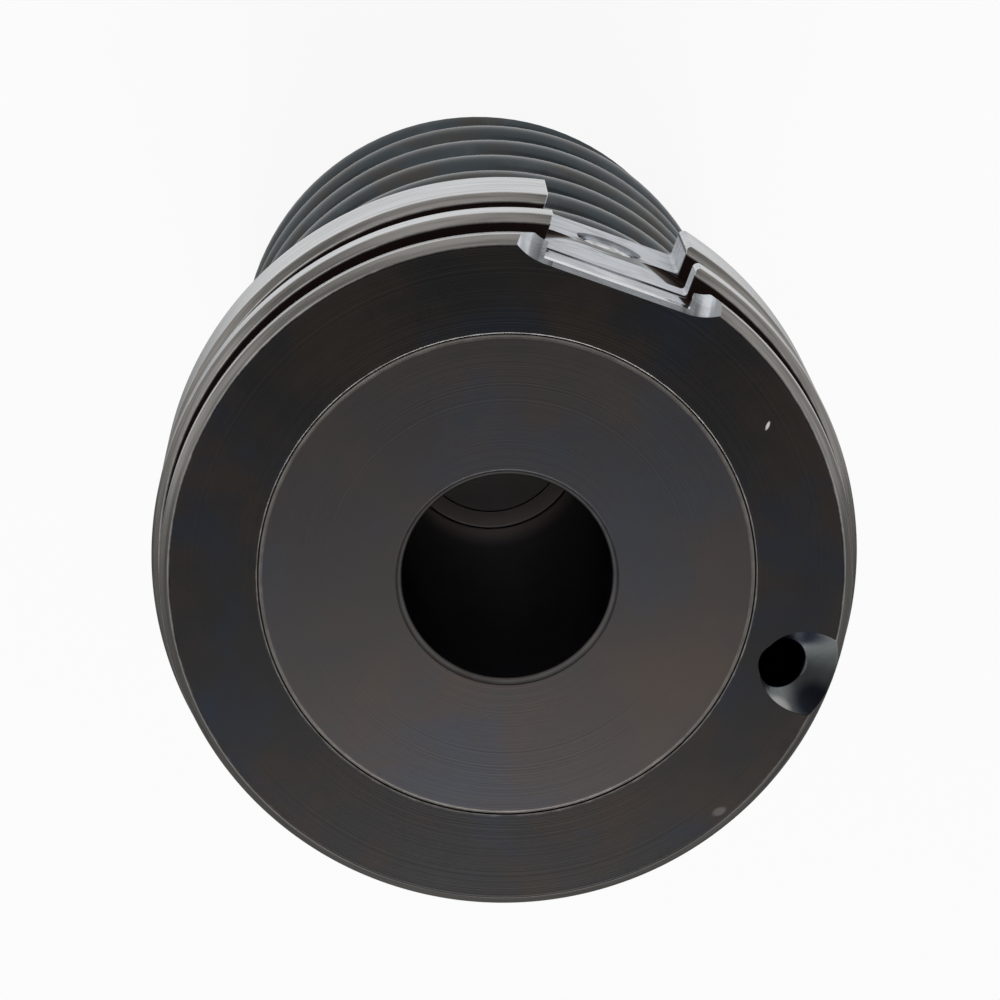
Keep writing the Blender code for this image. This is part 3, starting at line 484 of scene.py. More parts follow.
def streaksRound(axis, across):
    # Streaks round the axis, so many per mm across.
    places = {label: axis[label] for label in ("Object", "Depth", "Radius")}
    return useGroup(streakGroup, {**places, "Across": across})[0]


def wornEdge(axis, radius, depth, width, chips):
    # The worn line of one turned edge.
    circle = {"Radius": radius, "Depth": depth, "Width": width, "Chips": chips}
    return useGroup(edgeGroup, {"Lathe": axis["Lathe"], **circle})["Mask"]


def turnedRelief(shader, axis, perMm, scratchDensity, strength):
    # Tool rings and hairline scratches as one bump.
    places = {"Lathe": axis["Lathe"], "Object": axis["Object"]}
    marks = useGroup(marksGroup, {**places, "Per mm": perMm, "Waver": 0.04})["Marks"]
    scratches = useGroup(scratchGroup, {"Object": axis["Object"], "Density": scratchDensity})["Mask"]
    height = marks + scratches * -0.6
    bump = addNode("Bump", {"Height": height, "Strength": strength, "Distance": 0.0001})
    link(bump[0], shader.inputs["Normal"])
    return marks, scratches


def finishSurface(shader, colour, roughness, *shifts):
    # The roughness is moved either way by each (noise, amount).
    for value, amount in shifts:
        roughness += spread(value, amount)
    link(colour, shader.inputs["Base Color"])
    link(roughness, shader.inputs["Roughness"])


def ovalMark(axis, place, wide, long, turn):
    # 1 inside one small oval mark on the face, soft at its rim.
    middle = {"Location": (*place, faceHeight / mm), "Rotation": (0, 0, math.radians(turn))}
    sockets = {"Vector": axis["Object"], **middle, "Scale": (wide, long, 3.0)}
    mapped = addNode("Mapping", sockets, vector_type="TEXTURE")[0]
    return stepMask(vectorCalc("LENGTH", mapped), 0.45, 1.0, 1.0, 0.0)


def circlePart(x, y, radius, first, last, steps):
    # Points evenly spaced on an arc between two angles in degrees.
    angle = np.radians(np.linspace(first, last, steps + 1))
    return [(x + radius * math.cos(a), y + radius * math.sin(a)) for a in angle]


def finishPiece(piece, material, body, node):
    # Hangs a finished piece on its body in place of the plain one.
    piece.data.materials.clear()
    piece.data.materials.append(material)
    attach(piece, body)
    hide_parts(node)
    print(piece.name, len(piece.data.polygons), "faces")


collarSize = {
    "radius": 30.0, "length": 23.4, "frontRadius": 29.1, "frontEnd": 1.6, "faceChamfer": 0.8,
    "frontGroove": 27.1, "frontGrooveEnd": 5.0, "middleEnd": 8.0, "rearGroove": 26.8,
    "rearGrooveEnd": 14.7, "landChamfer": 0.7, "rearChamfer": 0.5,
    "seatRecess": 20.87, "seatSum": 23.224, "seatBore": 17.0, "seatEnd": 11.7, "cageBore": 20.3,
    "snapRadius": 21.2, "snapTop": 20.2, "snapEnd": 22.1, "washerRadius": 25.3, "washerTop": 22.6,
    "notchAngle": 70.5, "notchFloor": 26.65, "notchWidth": 12.8, "leftRound": 0.12, "rightRound": 0.3,
    "pocketStep": 0.15, "pocketChamfer": 0.4, "shoulder": 0.5, "reliefRadius": 5.2, "reliefSpacing": 12.4,
    "plugRadius": 2.95, "plugDepth": 16.9, "plugSide": -0.2, "plugHoleBelow": 4.1,
    "holeRadius": 2.2, "holePitch": 25.1, "holeAngle": -18.2, "holeTilt": 35.0, "holeLength": 12.0,
    "sinkRadius": 3.3, "sinkTip": 0.275, "sinkTilt": 20.0, "sinkHalfAngle": 49.4, "holeStart": 4.4,
}


def notchFrame():
    # X to the right along the notch's front edge, Y outwards, Z up.
    return turned(collarSize["notchAngle"] - 90)


def plugFrame():
    # Z outwards along the cross drilling in the notch floor.
    size = named(collarSize)
    return turned(size.notchAngle) @ moved(0, size.plugSide, size.plugDepth) @ turned(90, "Y")


def collarProfile():
    # Corners (radius, depth, rounding) of the turned collar, outside and bore, before any milling.
    size = named(collarSize)
    faceEdge, landEdge = size.frontRadius - size.faceChamfer, size.radius - size.landChamfer
    return [
        (size.seatRecess, 0, 0.10), (faceEdge, 0, 0.14),
        (size.frontRadius, size.faceChamfer, 0.14), (size.frontRadius, size.frontEnd, 0.10),
        (size.frontGroove, size.frontEnd, 0.30), (size.frontGroove, size.frontGrooveEnd, 0.30),
        (landEdge, size.frontGrooveEnd, 0.12), (size.radius, size.frontGrooveEnd + size.landChamfer, 0.14),
        (size.radius, size.middleEnd, 0.10), (size.rearGroove, size.middleEnd, 0.40),
        (size.rearGroove, size.rearGrooveEnd, 0.40), (landEdge, size.rearGrooveEnd, 0.12),
        (size.radius, size.rearGrooveEnd + size.landChamfer, 0.14),
        (size.radius, size.length - size.rearChamfer, 0.14),
        (size.radius - size.rearChamfer, size.length, 0.10),
        (size.washerRadius, size.length, 0.08), (size.washerRadius, size.washerTop, 0.10),
        (size.cageBore, size.washerTop, 0.08), (size.cageBore, size.snapEnd, 0.04),
        (size.snapRadius, size.snapEnd, 0.06), (size.snapRadius, size.snapTop, 0.06),
        (size.cageBore, size.snapTop, 0.04), (size.cageBore, size.seatEnd, 0.25),
        (size.seatBore, size.seatEnd, 0.15), (size.seatBore, size.seatSum - size.seatBore, 0.20),
        (size.seatRecess, size.seatSum - size.seatRecess, 0.15),
    ]


def notchCutters():
    # The notch through all lands, the shallow pocket in front and a 45 degree relief at each corner.
    size = named(collarSize)
    half, floor, outer = size.notchWidth / 2, size.notchFloor, 36.0
    left, right, shoulder = size.leftRound, size.rightRound, size.shoulder
    rim = math.sqrt(size.radius ** 2 - (half + shoulder) ** 2)
    outline = [(-half, outer)] + circlePart(left - half, floor + left, left, 180, 270, 3)
    outline += circlePart(half - right, floor + right, right, -90, 0, 5)
    outline += circlePart(half + shoulder, rim - shoulder, shoulder, 180, 78, 8)
    outline += [(outline[-1][0], outer)]
    front, rear = [below(x, y, -6) for x, y in outline], [below(x, y, 28) for x, y in outline]
    yield slabMesh("notch", front, rear, notchFrame())
    pocketFloor = floor - size.pocketStep
    profile = [(outer, -2), (pocketFloor - size.pocketChamfer - 2, -2), (pocketFloor, size.pocketChamfer)]
    profile += [(pocketFloor, size.frontGrooveEnd), (outer, size.frontGrooveEnd)]
    sides = [[below(side, out, depth) for out, depth in profile] for side in (-half, half)]
    yield slabMesh("pocket", *sides, notchFrame())
    deep, high = 0.9 * size.reliefRadius, 0.2 * size.reliefRadius
    out = pocketFloor - size.pocketChamfer + size.reliefRadius
    for side in (-1, 1):
        place = notchFrame() @ moved(side * size.reliefSpacing / 2, out, 0)
        radii = (size.reliefRadius - deep, size.reliefRadius + high)
        yield coneMesh("relief", *radii, -deep, high, 160, place)


def drillingCutters():
    # The cross drilling for the plug, and the leaning face drilling with its countersink.
    size = named(collarSize)
    low, high = size.notchFloor - size.plugHoleBelow, size.notchFloor + 3
    yield coneMesh("plugHole", size.plugRadius, size.plugRadius, low, high, 96, plugFrame())
    entry = turned(size.holeAngle) @ moved(size.holePitch, 0, 0)
    place = entry @ turned(size.holeTilt, "Y")
    radii = (size.holeRadius, size.holeRadius)
    yield coneMesh("faceHole", *radii, -size.holeLength, size.holeStart, 96, place)
    widen = math.tan(math.radians(size.sinkHalfAngle))
    mouth = size.sinkRadius + size.holeStart * widen
    deep = -(size.sinkRadius - size.sinkTip) / widen
    place = entry @ turned(size.sinkTilt, "Y")
    yield coneMesh("countersink", size.sinkTip, mouth, deep, size.holeStart, 128, place)


def makeCollar():
    # Turned body first, then the notch with its pocket and reliefs, then the drillings.
    collar = turnedPiece("collarBody", collarProfile(), 512, 3)
    for mesh in [*notchCutters(), *drillingCutters()]:
        cutAway(collar, mesh)
    sealMesh(collar.data, 30)
    return collar


collarLook = {
    "oxide": (0.0205, 0.0197, 0.0198), "brown": (0.0270, 0.0222, 0.0193), "blue": (0.0185, 0.021, 0.027),
    "landLight": (0.52, 0.535, 0.56), "landDark": (0.32, 0.318, 0.315), "chamfer": (0.165, 0.152, 0.136),
    "milledLight": (0.62, 0.645, 0.685), "milledDark": (0.46, 0.472, 0.49), "smear": (0.07, 0.062, 0.055),
    "stepShadow": (0.020, 0.018, 0.018), "bare": (0.55, 0.54, 0.52), "groove": (0.022, 0.011, 0.009),
    "countersink": (0.150, 0.162, 0.165), "drilling": (0.020, 0.023, 0.036),
    "faceRoughness": 0.34, "landRoughness": 0.24, "milledRoughness": 0.20, "grooveRoughness": 0.6,
    "edgeWidth": 0.15, "cloudScale": 0.085,
    # tool rings per mm, share of scratches, bump
    "relief": (5.0, 0.40, 0.09),
    # small oval marks on the face: place, width, length, turn
    "nick": ((21.5, 13.1), 0.17, 0.50, -22), "rub": ((18.2, -20.6), 0.8, 0.45, 25),
    # dark patches of painted shade and one painted highlight in the countersink: place beside the drilling,
    # width, length, turn, share, tone
    "mouthMarks": (
        ((2.2, -3.0), 2.6, 2.3, -25, 0.95, "drilling"), ((0.7, 2.6), 3.2, 1.3, -4, 0.85, "drilling"),
        ((-0.9, -3.4), 1.6, 0.9, -30, 0.4, "bare"),
    ),
    # where the dark wedges of painted shadow at the two grooves begin, outwards from the notch's middle
    "shadowWedgeStarts": (5.5, 2.9),
}


def notchCoordinates(axis):
    # Distance to the right and outwards from the axis, in the notch's own frame.
    angle = math.radians(collarSize["notchAngle"])
    out = vectorCalc("DOT_PRODUCT", axis["Object"], (math.cos(angle), math.sin(angle), 0))
    side = vectorCalc("DOT_PRODUCT", axis["Object"], (math.sin(angle), -math.cos(angle), 0))
    return side, out


def landSkin(axis, shade):
    # Where the lands and their chamfers are, and their rubbed light and brownish dark tones.
    size, look = named(collarSize), named(collarLook)
    radius, depth, faceEdge = axis["Radius"], axis["Depth"], size.frontRadius - size.faceChamfer
    lands = stepMask(radius, faceEdge - 0.02, faceEdge + 0.08)
    colour = blendColours(shade, look.landDark, look.landLight)
    half = 0.5 * size.landChamfer
    starts = (size.frontGrooveEnd, size.rearGrooveEnd)
    bands = [calc("COMPARE", depth, start + half, half) for start in starts]
    onFace = 1 - stepMask(depth, size.faceChamfer - 0.1, size.faceChamfer)
    chamfers = strongest(*bands, lands * onFace)
    chamferColour = blendColours(shade, toned(look.chamfer, 0.62), toned(look.chamfer, 1.25))
    return lands, blendColours(chamfers * 0.85, colour, chamferColour)


def grooveMask(axis):
    # Everything deeper than the front land that lies inside the land chamfers.
    size = named(collarSize)
    landEdge = size.radius - size.landChamfer
    deeper = stepMask(axis["Depth"], size.frontEnd + 0.02, size.frontEnd + 0.1)
    inside = 1 - stepMask(axis["Radius"], landEdge - 0.15, landEdge)
    outside = stepMask(axis["Radius"], size.rearGroove - 0.4, size.rearGroove - 0.2)
    return deeper * inside * outside


def milledMasks(axis, side, out):
    # The notch's floor and walls without the dark wedges of painted shadow at the grooves' depths, and the
    # reliefs.
    size = named(collarSize)
    depth, half, aside = axis["Depth"], size.notchWidth / 2, calc("ABSOLUTE", side)
    near = 1 - stepMask(aside, half + 0.03, half + 0.10)
    above = stepMask(out, size.notchFloor - 0.62, size.notchFloor - 0.50)
    underFace = stepMask(depth, 0.005, 0.02)
    milled = near * above * underFace
    pocketFloor = size.notchFloor - size.pocketStep
    shadowWedges = [
        (size.frontEnd, size.frontGrooveEnd, pocketFloor),
        (size.middleEnd, size.rearGrooveEnd, size.notchFloor),
    ]
    # Painted shadow: within each groove's depth the floor keeps the dark groove colour in a wedge that
    # widens towards the notch's sides.
    for (start, stop, level), first in zip(shadowWedges, collarLook["shadowWedgeStarts"]):
        within = calc("COMPARE", depth, 0.5 * (start + stop), 0.5 * (stop - start) - 0.02)
        within = within * calc("LESS_THAN", out, level - 0.015)
        reach = ramp(aside, first, half) * ramp(side, -1.0, 1.0, 0.5, 1.0)
        fromWall = (stop - depth) / (stop - start)
        taper = stepMask(reach - fromWall, -0.10, 0.10)
        milled = milled * (1 - within * taper)
    cones = []
    for edge in (-1, 1):
        across = side - edge * size.reliefSpacing / 2
        along = out - (pocketFloor - size.pocketChamfer + size.reliefRadius)
        squares = across * across + along * along
        span = calc("SQRT", squares)
        cones.append(calc("COMPARE", span + depth, size.reliefRadius, 0.035))
    reliefs = strongest(*cones)
    return strongest(milled, reliefs * underFace), reliefs


def milledSkin(axis, side, out, reliefs):
    # Light cutter marks, an oily smear round the plug, grey bands of painted shade down the reliefs, shaded
    # steps.
    size, look = named(collarSize), named(collarLook)
    depth = axis["Depth"]
    feed = joinAxes(side * 0.22, out * 0.5, depth * 0.9)
    blot = noise(feed, 1.15, 5.0, 0.6, 0.4)
    colour = blendColours(stepMask(blot, 0.33, 0.60), look.milledDark, look.milledLight)
    plugAside = -size.plugSide
    across = (side - plugAside) * 0.75
    fromPlug = vectorCalc("LENGTH", joinAxes(across, depth - (size.plugDepth - 2.6)))
    smear = 1 - stepMask(fromPlug + blot * 6.0, 4.6, 6.2)
    colour = blendColours(smear * 0.75, colour, look.smear)
    # Painted shade: grey bands down the concave reliefs stand in for the shading of their curve.
    bands = noise(joinAxes(side * 0.75, depth * 0.12), 1.0, 3.0)
    bands = reliefs * (1 - stepMask(bands, 0.42, 0.56))
    colour = blendColours(bands * 0.8, colour, toned(look.milledDark, 0.42))
    lowFloor = calc("LESS_THAN", out, size.notchFloor - 0.04)
    rearStep = calc("COMPARE", depth, size.rearGrooveEnd, 0.03) * lowFloor
    fade = calc("ABSOLUTE", side) + side * 0.2
    frontStep = calc("COMPARE", depth, size.frontGrooveEnd, 0.03)
    frontStep = frontStep * stepMask(fade, 1.2, 4.0)
    return blendColours(strongest(rearStep, frontStep) * 0.9, colour, look.stepShadow)


def drillingEntry():
    # Where the face drilling's axis meets the control face, in mm.
    pitch, turn = collarSize["holePitch"], math.radians(collarSize["holeAngle"])
    return pitch * math.cos(turn), pitch * math.sin(turn), faceHeight / mm


def mouthMask(axis):
    # The countersink: near the drilling, under the face and its chamfer, and not in the front groove.
    size = named(collarSize)
    radius, depth = axis["Radius"], axis["Depth"]
    away = vectorCalc("DISTANCE", axis["Object"], drillingEntry())
    chamfer = strongest(radius - (size.frontRadius - size.faceChamfer), 0.0)
    under = stepMask(depth - chamfer, 0.02, 0.05)
    within = under * calc("LESS_THAN", radius, size.frontRadius - 0.03)
    mouth = (1 - stepMask(away, 5.4, 5.6)) * within
    past = calc("GREATER_THAN", radius, size.frontGroove - 0.1)
    onGroove = past * calc("GREATER_THAN", depth, size.frontEnd - 0.02)
    return mouth * (1 - onGroove)


def mouthSkin(axis, shade):
    # Bluish dark cone with two dark patches of painted shade and one painted highlight.
    look, (x, y, z) = named(collarLook), drillingEntry()
    colour = blendColours(shade, toned(look.countersink, 0.8), look.countersink)
    # Painted shade and a painted highlight, each an oval on the cone.
    for place, wide, long, turn, share, tone in look.mouthMarks:
        mark = ovalMark(axis, (x + place[0], y + place[1]), wide, long, turn)
        colour = blendColours(mark * share, colour, collarLook[tone])
    return colour


def drillingMask(axis):
    # The drilling's wall: all that lies one hole radius from its leaning axis.
    size = named(collarSize)
    lean, turn = math.radians(size.holeTilt), math.radians(size.holeAngle)
    way = (math.sin(lean) * math.cos(turn), math.sin(lean) * math.sin(turn), math.cos(lean))
    fromEntry = vectorCalc("SUBTRACT", axis["Object"], drillingEntry())
    away = vectorCalc("LENGTH", vectorCalc("CROSS_PRODUCT", fromEntry, way))
    wall = calc("COMPARE", away, size.holeRadius, 0.04)
    return wall * stepMask(axis["Depth"], 0.3, 0.4)


def edgeWearAndHighlightMask(axis, milled):
    # Bare worn lines on the turned edges that also serve as painted highlights, dimmed towards -Y as
    # painted shade, and one nick and one rubbed spot on the face.
    size, look = named(collarSize), named(collarLook)
    chips = spread(noise(axis["Object"], 0.8, 5.0, 0.6), 0.16)
    landEdge = size.radius - size.landChamfer
    circles = [
        (size.frontRadius - size.faceChamfer, 0.0, 0.9), (size.frontRadius, size.faceChamfer, 1.0),
        (landEdge, size.frontGrooveEnd, 0.9), (size.radius, size.frontGrooveEnd + size.landChamfer, 1.0),
        (size.radius, size.middleEnd, 1.0), (landEdge, size.rearGrooveEnd, 0.9),
        (size.radius, size.rearGrooveEnd + size.landChamfer, 1.0),
        (size.radius, size.length - size.rearChamfer, 1.0),
    ]
    edges = [wornEdge(axis, r, d, look.edgeWidth * share, chips) for r, d, share in circles]
    across = addNode("SeparateXYZ", {0: axis["Object"]})[1]
    # Painted shade: the edge lines fade out towards -Y.
    fade = ramp(across, -24.0, 4.0, 0.0, 0.75)
    wearAndHighlight = strongest(*edges) * (1 - milled) * fade
    # The seat recess edge: a bare line that also serves as a painted highlight.
    inner = wornEdge(axis, size.seatRecess, 0.0, 0.16, chips)
    wearAndHighlight = strongest(wearAndHighlight, inner * 0.6)
    nick, rub = ovalMark(axis, *look.nick), ovalMark(axis, *look.rub)
    return strongest(wearAndHighlight, nick, rub * 0.06)


def collarMaterial():
    # Dark face with faint brown and blue clouds, lands rubbed bright with long streaks, darker brownish
    # chamfers, rusty grooves, a freshly milled notch with dark smears and painted shade, and bare edges
    # that are partly painted highlight.
    look = named(collarLook)
    material, shader, axis = startMaterial("blackenedCollarSteel")
    clouds = colourClouds(axis, look.cloudScale, look.oxide, look.brown, look.blue)
    shade = stepMask(streaksRound(axis, 1.5), 0.30, 0.66)
    marks = turnedRelief(shader, axis, *look.relief)[0]
    lands, landColour = landSkin(axis, shade)
    colour = blendColours(lands, clouds["Colour"], landColour)
    groove = grooveMask(axis)
    colour = blendColours(groove, colour, look.groove)
    side, out = notchCoordinates(axis)
    milled, reliefs = milledMasks(axis, side, out)
    colour = blendColours(milled, colour, milledSkin(axis, side, out, reliefs))
    mouth = mouthMask(axis)
    colour = blendColours(mouth, colour, mouthSkin(axis, shade))
    colour = blendColours(drillingMask(axis), colour, look.drilling)
    colour = blendColours(edgeWearAndHighlightMask(axis, milled), colour, look.bare)
    roughness = blendValues(lands, look.faceRoughness, look.landRoughness)
    roughness = blendValues(strongest(milled, mouth), roughness, look.milledRoughness)
    roughness = blendValues(groove, roughness, look.grooveRoughness)
    finishSurface(shader, colour, roughness, (clouds["Cloud"], 0.16), (marks, 0.12))
    link(1 - groove * 0.25, shader.inputs["Metallic"])
    return material


finishPiece(makeCollar(), collarMaterial(), "sleeve", "seat_collar")


poppetSize = {
    "headRadius": 20.8, "headEdge": 2.0, "headChamfer": 0.2, "stemRadius": 12.0, "stemFillet": 4.0,
    "boreRadius": 8.8, "boreDepth": 49.7, "boreChamfer": 0.5, "plugBore": 7.23, "plugEnd": 54.9,
    "chamberRadius": 5.8, "chamberEnd": 67.4, "crossRadius": 1.5, "crossDepth": 57.0, "crossPlace": 9.5,
    "neckRadius": 10.5, "neckTop": 85.0, "neckEnd": 88.7, "threadRadius": 6.95, "threadTop": 89.6,
    "threadEnd": 98.4, "threadPitch": 1.0, "threadDepth": 0.45, "end": 99.1,
}


def threadCorners(radius, top, end, pitch, depth):
    # Zigzag flanks of a screw thread between two depths, crests and roots slightly rounded.
    turns = int((end - top) / pitch)
    starts = top + (end - top - turns * pitch) / 2 + pitch * np.arange(turns)
    crests = np.stack([np.full(turns, radius), starts, np.full(turns, 0.08)], 1)
    roots = np.stack([np.full(turns, radius - depth), starts + pitch / 2, np.full(turns, 0.08)], 1)
    return np.stack([crests, roots], 1).reshape(-1, 3).tolist()


def makePoppet():
    # Head with its 45 degree seat, hollow stem, neck and threaded foot: one closed turned profile.
    size = named(poppetSize)
    cone = size.headRadius + size.headEdge - size.stemRadius
    corners = [
        (0, size.chamberEnd, 0), (size.chamberRadius, size.chamberEnd, 0.3),
        (size.chamberRadius, size.plugEnd, 0.1), (size.plugBore, size.plugEnd, 0.1),
        (size.plugBore, size.boreDepth + 0.03, 0.02), (size.boreRadius, size.boreDepth, 0.15),
        (size.boreRadius, size.boreChamfer, 0.12), (size.boreRadius + size.boreChamfer, 0, 0.08),
        (size.headRadius - size.headChamfer, 0, 0.06), (size.headRadius, size.headChamfer, 0.06),
        (size.headRadius, size.headEdge, 0.10), (size.stemRadius, cone, 0.41 * size.stemFillet),
        (size.stemRadius, size.neckTop, 0.2), (size.neckRadius, size.neckTop, 0.2),
        (size.neckRadius, size.neckEnd, 0.2), (size.threadRadius - 0.05, size.neckEnd, 0.1),
    ]
    thread = (size.threadRadius, size.threadTop, size.threadEnd, size.threadPitch, size.threadDepth)
    corners += threadCorners(*thread)
    corners += [(6.4, size.end, 0.15), (0, size.end, 0)]
    poppet = turnedPiece("poppetBody", corners, 400)
    for quarter in range(4):
        place = turned(90 * quarter + 45) @ moved(size.crossPlace, 0, size.crossDepth) @ turned(90, "Y")
        cutAway(poppet, coneMesh("crossHole", size.crossRadius, size.crossRadius, -5, 5, 48, place))
    sealMesh(poppet.data)
    return poppet


poppetLook = {
    "base": (0.041, 0.038, 0.0385), "brown": (0.050, 0.0415, 0.0375), "blue": (0.037, 0.040, 0.048),
    "bare": (0.50, 0.49, 0.47), "bore": (0.016, 0.021, 0.044), "boreFloor": (0.52, 0.46, 0.42),
    "dullRim": (0.32, 0.295, 0.27), "dullMouth": (0.10, 0.097, 0.094), "roughness": 0.36,
    "floorRoughness": 0.30, "cloudScale": 0.055, "relief": (6.0, 0.40, 0.06),
}


def poppetMaterial():
    # Ground grey face with wide faint clouds, a dull thin chamfer that is partly wear and partly painted
    # highlight, a bore painted dark as painted shade, and its brownish floor painted light as a painted
    # pool of light.
    look, size = named(poppetLook), named(poppetSize)
    material, shader, axis = startMaterial("groundGreyPoppet")
    clouds = colourClouds(axis, look.cloudScale, look.base, look.brown, look.blue)
    marks = turnedRelief(shader, axis, *look.relief)[0]
    chips = spread(noise(axis["Object"], 0.7, 5.0), 0.16)
    # Partly wear, partly painted highlight: the head chamfer and the bore's mouth become dull light rims
    # for their thin bright lines.
    headRimWearAndHighlight = wornEdge(axis, size.headRadius - 0.08, 0.10, 0.34, chips)
    boreRimWearAndHighlight = wornEdge(axis, size.boreRadius + 0.25, 0.25, 0.38, chips)
    seatRim = wornEdge(axis, size.headRadius, size.headEdge, 0.2, chips)
    # Painted shade: the bore's wall is painted dark navy.
    within = 1 - stepMask(axis["Radius"], size.boreRadius + 0.02, size.boreRadius + 0.12)
    inside = within * stepMask(axis["Depth"], 0.4, 1.6)
    colour = blendColours(inside, clouds["Colour"], look.bore)
    # Painted light: the bore's floor, the pilot seat on it and the last 8 mm of its wall grow lighter
    # towards the floor.
    floor = inside * stepMask(axis["Depth"], size.boreDepth - 8.0, size.boreDepth - 0.2)
    colour = blendColours(floor, colour, look.boreFloor)
    colour = blendColours(seatRim * 0.85, colour, look.bare)
    colour = blendColours(boreRimWearAndHighlight * 0.9, colour, look.dullMouth)
    colour = blendColours(headRimWearAndHighlight, colour, look.dullRim)
    roughness = blendValues(floor, look.roughness, look.floorRoughness)
    finishSurface(shader, colour, roughness, (clouds["Cloud"], 0.14), (marks, 0.10))
    dull = strongest(headRimWearAndHighlight, boreRimWearAndHighlight) * 0.85
    link(1 - dull, shader.inputs["Metallic"])
    return material


poppetSkin = poppetMaterial()
finishPiece(makePoppet(), poppetSkin, "poppet", "poppet")


pilotSeatSize = {"radius": 7.2, "hole": 2.2, "top": 50.0, "end": 54.6, "slotWidth": 1.8, "slotDepth": 2.3}


def makePilotSeat():
    # The screwed seat on the bore's floor: a short ring with a driving slot across it.
    size = named(pilotSeatSize)
    corners = [
        (size.hole, size.top + 0.2, 0.1), (size.hole + 0.3, size.top, 0.1),
        (size.radius - 0.04, size.top, 0.02), (size.radius, size.top + 0.04, 0.02),
        (size.radius, size.end, 0.1), (size.hole, size.end, 0.1),
    ]
    seat = turnedPiece("pilotSeat", corners, 256)
    half, low, high = size.slotWidth / 2, size.top + size.slotDepth, size.top - 2
    outline = [(-half, low), (half, low), (half, high), (-half, high)]
    sides = [[below(x, y, depth) for y, depth in outline] for x in (-10, 10)]
    cutAway(seat, slabMesh("drivingSlot", *sides))
    sealMesh(seat.data)
    return seat


finishPiece(makePilotSeat(), poppetSkin, "poppet", "pilot_plug")


springSize = {
    "meanRadius": 22.0, "wireRadius": 3.0, "top": 25.2, "length": 65.0, "turns": 8.4,
    "closedPitch": 7.0, "groundTurns": 0.55, "endAngle": -60.0,
}


def makeSpring():
    # Two closed end turns and an even pitch between them; both ends are ground flat over half a turn.
    size = named(springSize)
    ground = size.groundTurns * size.closedPitch
    openPitch = (size.length + 2 * ground - 2 * size.closedPitch) / (size.turns - 2)
    bottom = faceHeight - (size.top + size.length) * mm

    def heightAt(turn):
        # Height of the wire's middle after so many turns, in metres.
        inner = np.clip(turn - 1, 0, size.turns - 2)
        return bottom + (size.closedPitch * (turn - inner) + openPitch * inner - ground) * mm

    tip = (ground - size.wireRadius + 0.45) / size.closedPitch
    limits = bottom, bottom + size.length * mm
    return coilPiece("springCoil", size, (tip, size.turns - tip), heightAt, limits, size.endAngle, 110, 40)


springLook = {
    "base": (0.046, 0.055, 0.061), "light": (0.064, 0.076, 0.083), "brown": (0.054, 0.051, 0.047),
    "ground": (0.26, 0.26, 0.26), "roughness": 0.27, "cloudScale": 0.14, "relief": (2.4, 0.38, 0.10),
}


def springMaterial():
    # Oil tempered wire: blue-green dark skin with faint patches, and flat ends ground paler.
    look, size = named(springLook), named(springSize)
    material, shader, axis = startMaterial("temperedSpringWire")
    clouds = colourClouds(axis, look.cloudScale, look.base, look.brown, look.light)
    top, end = size.top, size.top + size.length
    atTop = 1 - stepMask(axis["Depth"], top, top + 0.05)
    ends = strongest(atTop, stepMask(axis["Depth"], end - 0.05, end))
    colour = blendColours(ends, clouds["Colour"], look.ground)
    marks = turnedRelief(shader, axis, *look.relief)[0]
    finishSurface(shader, colour, look.roughness, (marks, 0.22), (clouds["Cloud"], 0.18))
    return material


def shortenWith(spring, joint, fixedDepth, length):
    # Works out the share of the coil's length that the joint's travel leaves and gives the coil a mesh of
    # its own; the coil is not shortened.
    joints = {row["name"]: row for row in frame["record"]["behaviour"]["joints"]}
    keep = 1 - max(joints[joint]["range_m"]) / (length * mm)
    below(0, 0, fixedDepth)
    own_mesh(spring)


closingSpring = makeSpring()
finishPiece(closingSpring, springMaterial(), "sleeve", "closing_spring")
shortenWith(closingSpring, "poppet_lift", springSize["top"], springSize["length"])


# dark colour, light colour, warm colour, roughness, tool rings per mm, bump
steelFinishes = {
    "dark_steel":
        ((0.050, 0.052, 0.055), (0.082, 0.083, 0.083), (0.068, 0.060, 0.053), 0.36, 3.5, 0.12),
    "bright_steel":
        ((0.44, 0.44, 0.435), (0.60, 0.60, 0.59), (0.46, 0.42, 0.38), 0.26, 5.0, 0.10),
    "black_oxide_steel":
        ((0.026, 0.026, 0.028), (0.040, 0.040, 0.043), (0.046, 0.036, 0.030), 0.32, 3.5, 0.10),
    "grey_hardened_steel":
        ((0.046, 0.044, 0.044), (0.060, 0.060, 0.064), (0.062, 0.052, 0.046), 0.38, 5.0, 0.08),
    "oil_tempered_spring_steel":
        ((0.044, 0.055, 0.061), (0.064, 0.076, 0.083), (0.054, 0.050, 0.045), 0.28, 3.0, 0.08),
    "bearing_bronze":
        ((0.40, 0.235, 0.10), (0.54, 0.34, 0.165), (0.34, 0.18, 0.08), 0.32, 4.0, 0.10),
    "brass":
        ((0.20, 0.145, 0.060), (0.30, 0.22, 0.10), (0.15, 0.10, 0.045), 0.46, 4.0, 0.10),
}


def steelFinish(slot):
    # Two tones of the metal in streaks round the axis, warm stains, tool rings and hairlines.
    dark, light, warm, roughness, perMm, strength = steelFinishes[slot]
    material, shader, axis = startMaterial(slot + "Finish")
    clouds = colourClouds(axis, 0.13, dark, warm, light)
    rubbed = stepMask(streaksRound(axis, 1.8), 0.40, 0.72) * 0.7
    colour = blendColours(rubbed, clouds["Colour"], light)
    marks, scratches = turnedRelief(shader, axis, perMm, 0.45, strength)
    colour = blendColours(scratches * 0.35, colour, toned(light, 1.5))
    finishSurface(shader, colour, roughness, (marks, 0.14), (clouds["Cloud"], 0.14))
    return material


finishes = {slot: steelFinish(slot) for slot in steelFinishes}
for part in frame["record"]["subparts"]:
    for holder in frame["nodes"][part["node"]].material_slots:
        holder.material = finishes[part["material_slot"]]
print("finishes:", len(finishes))


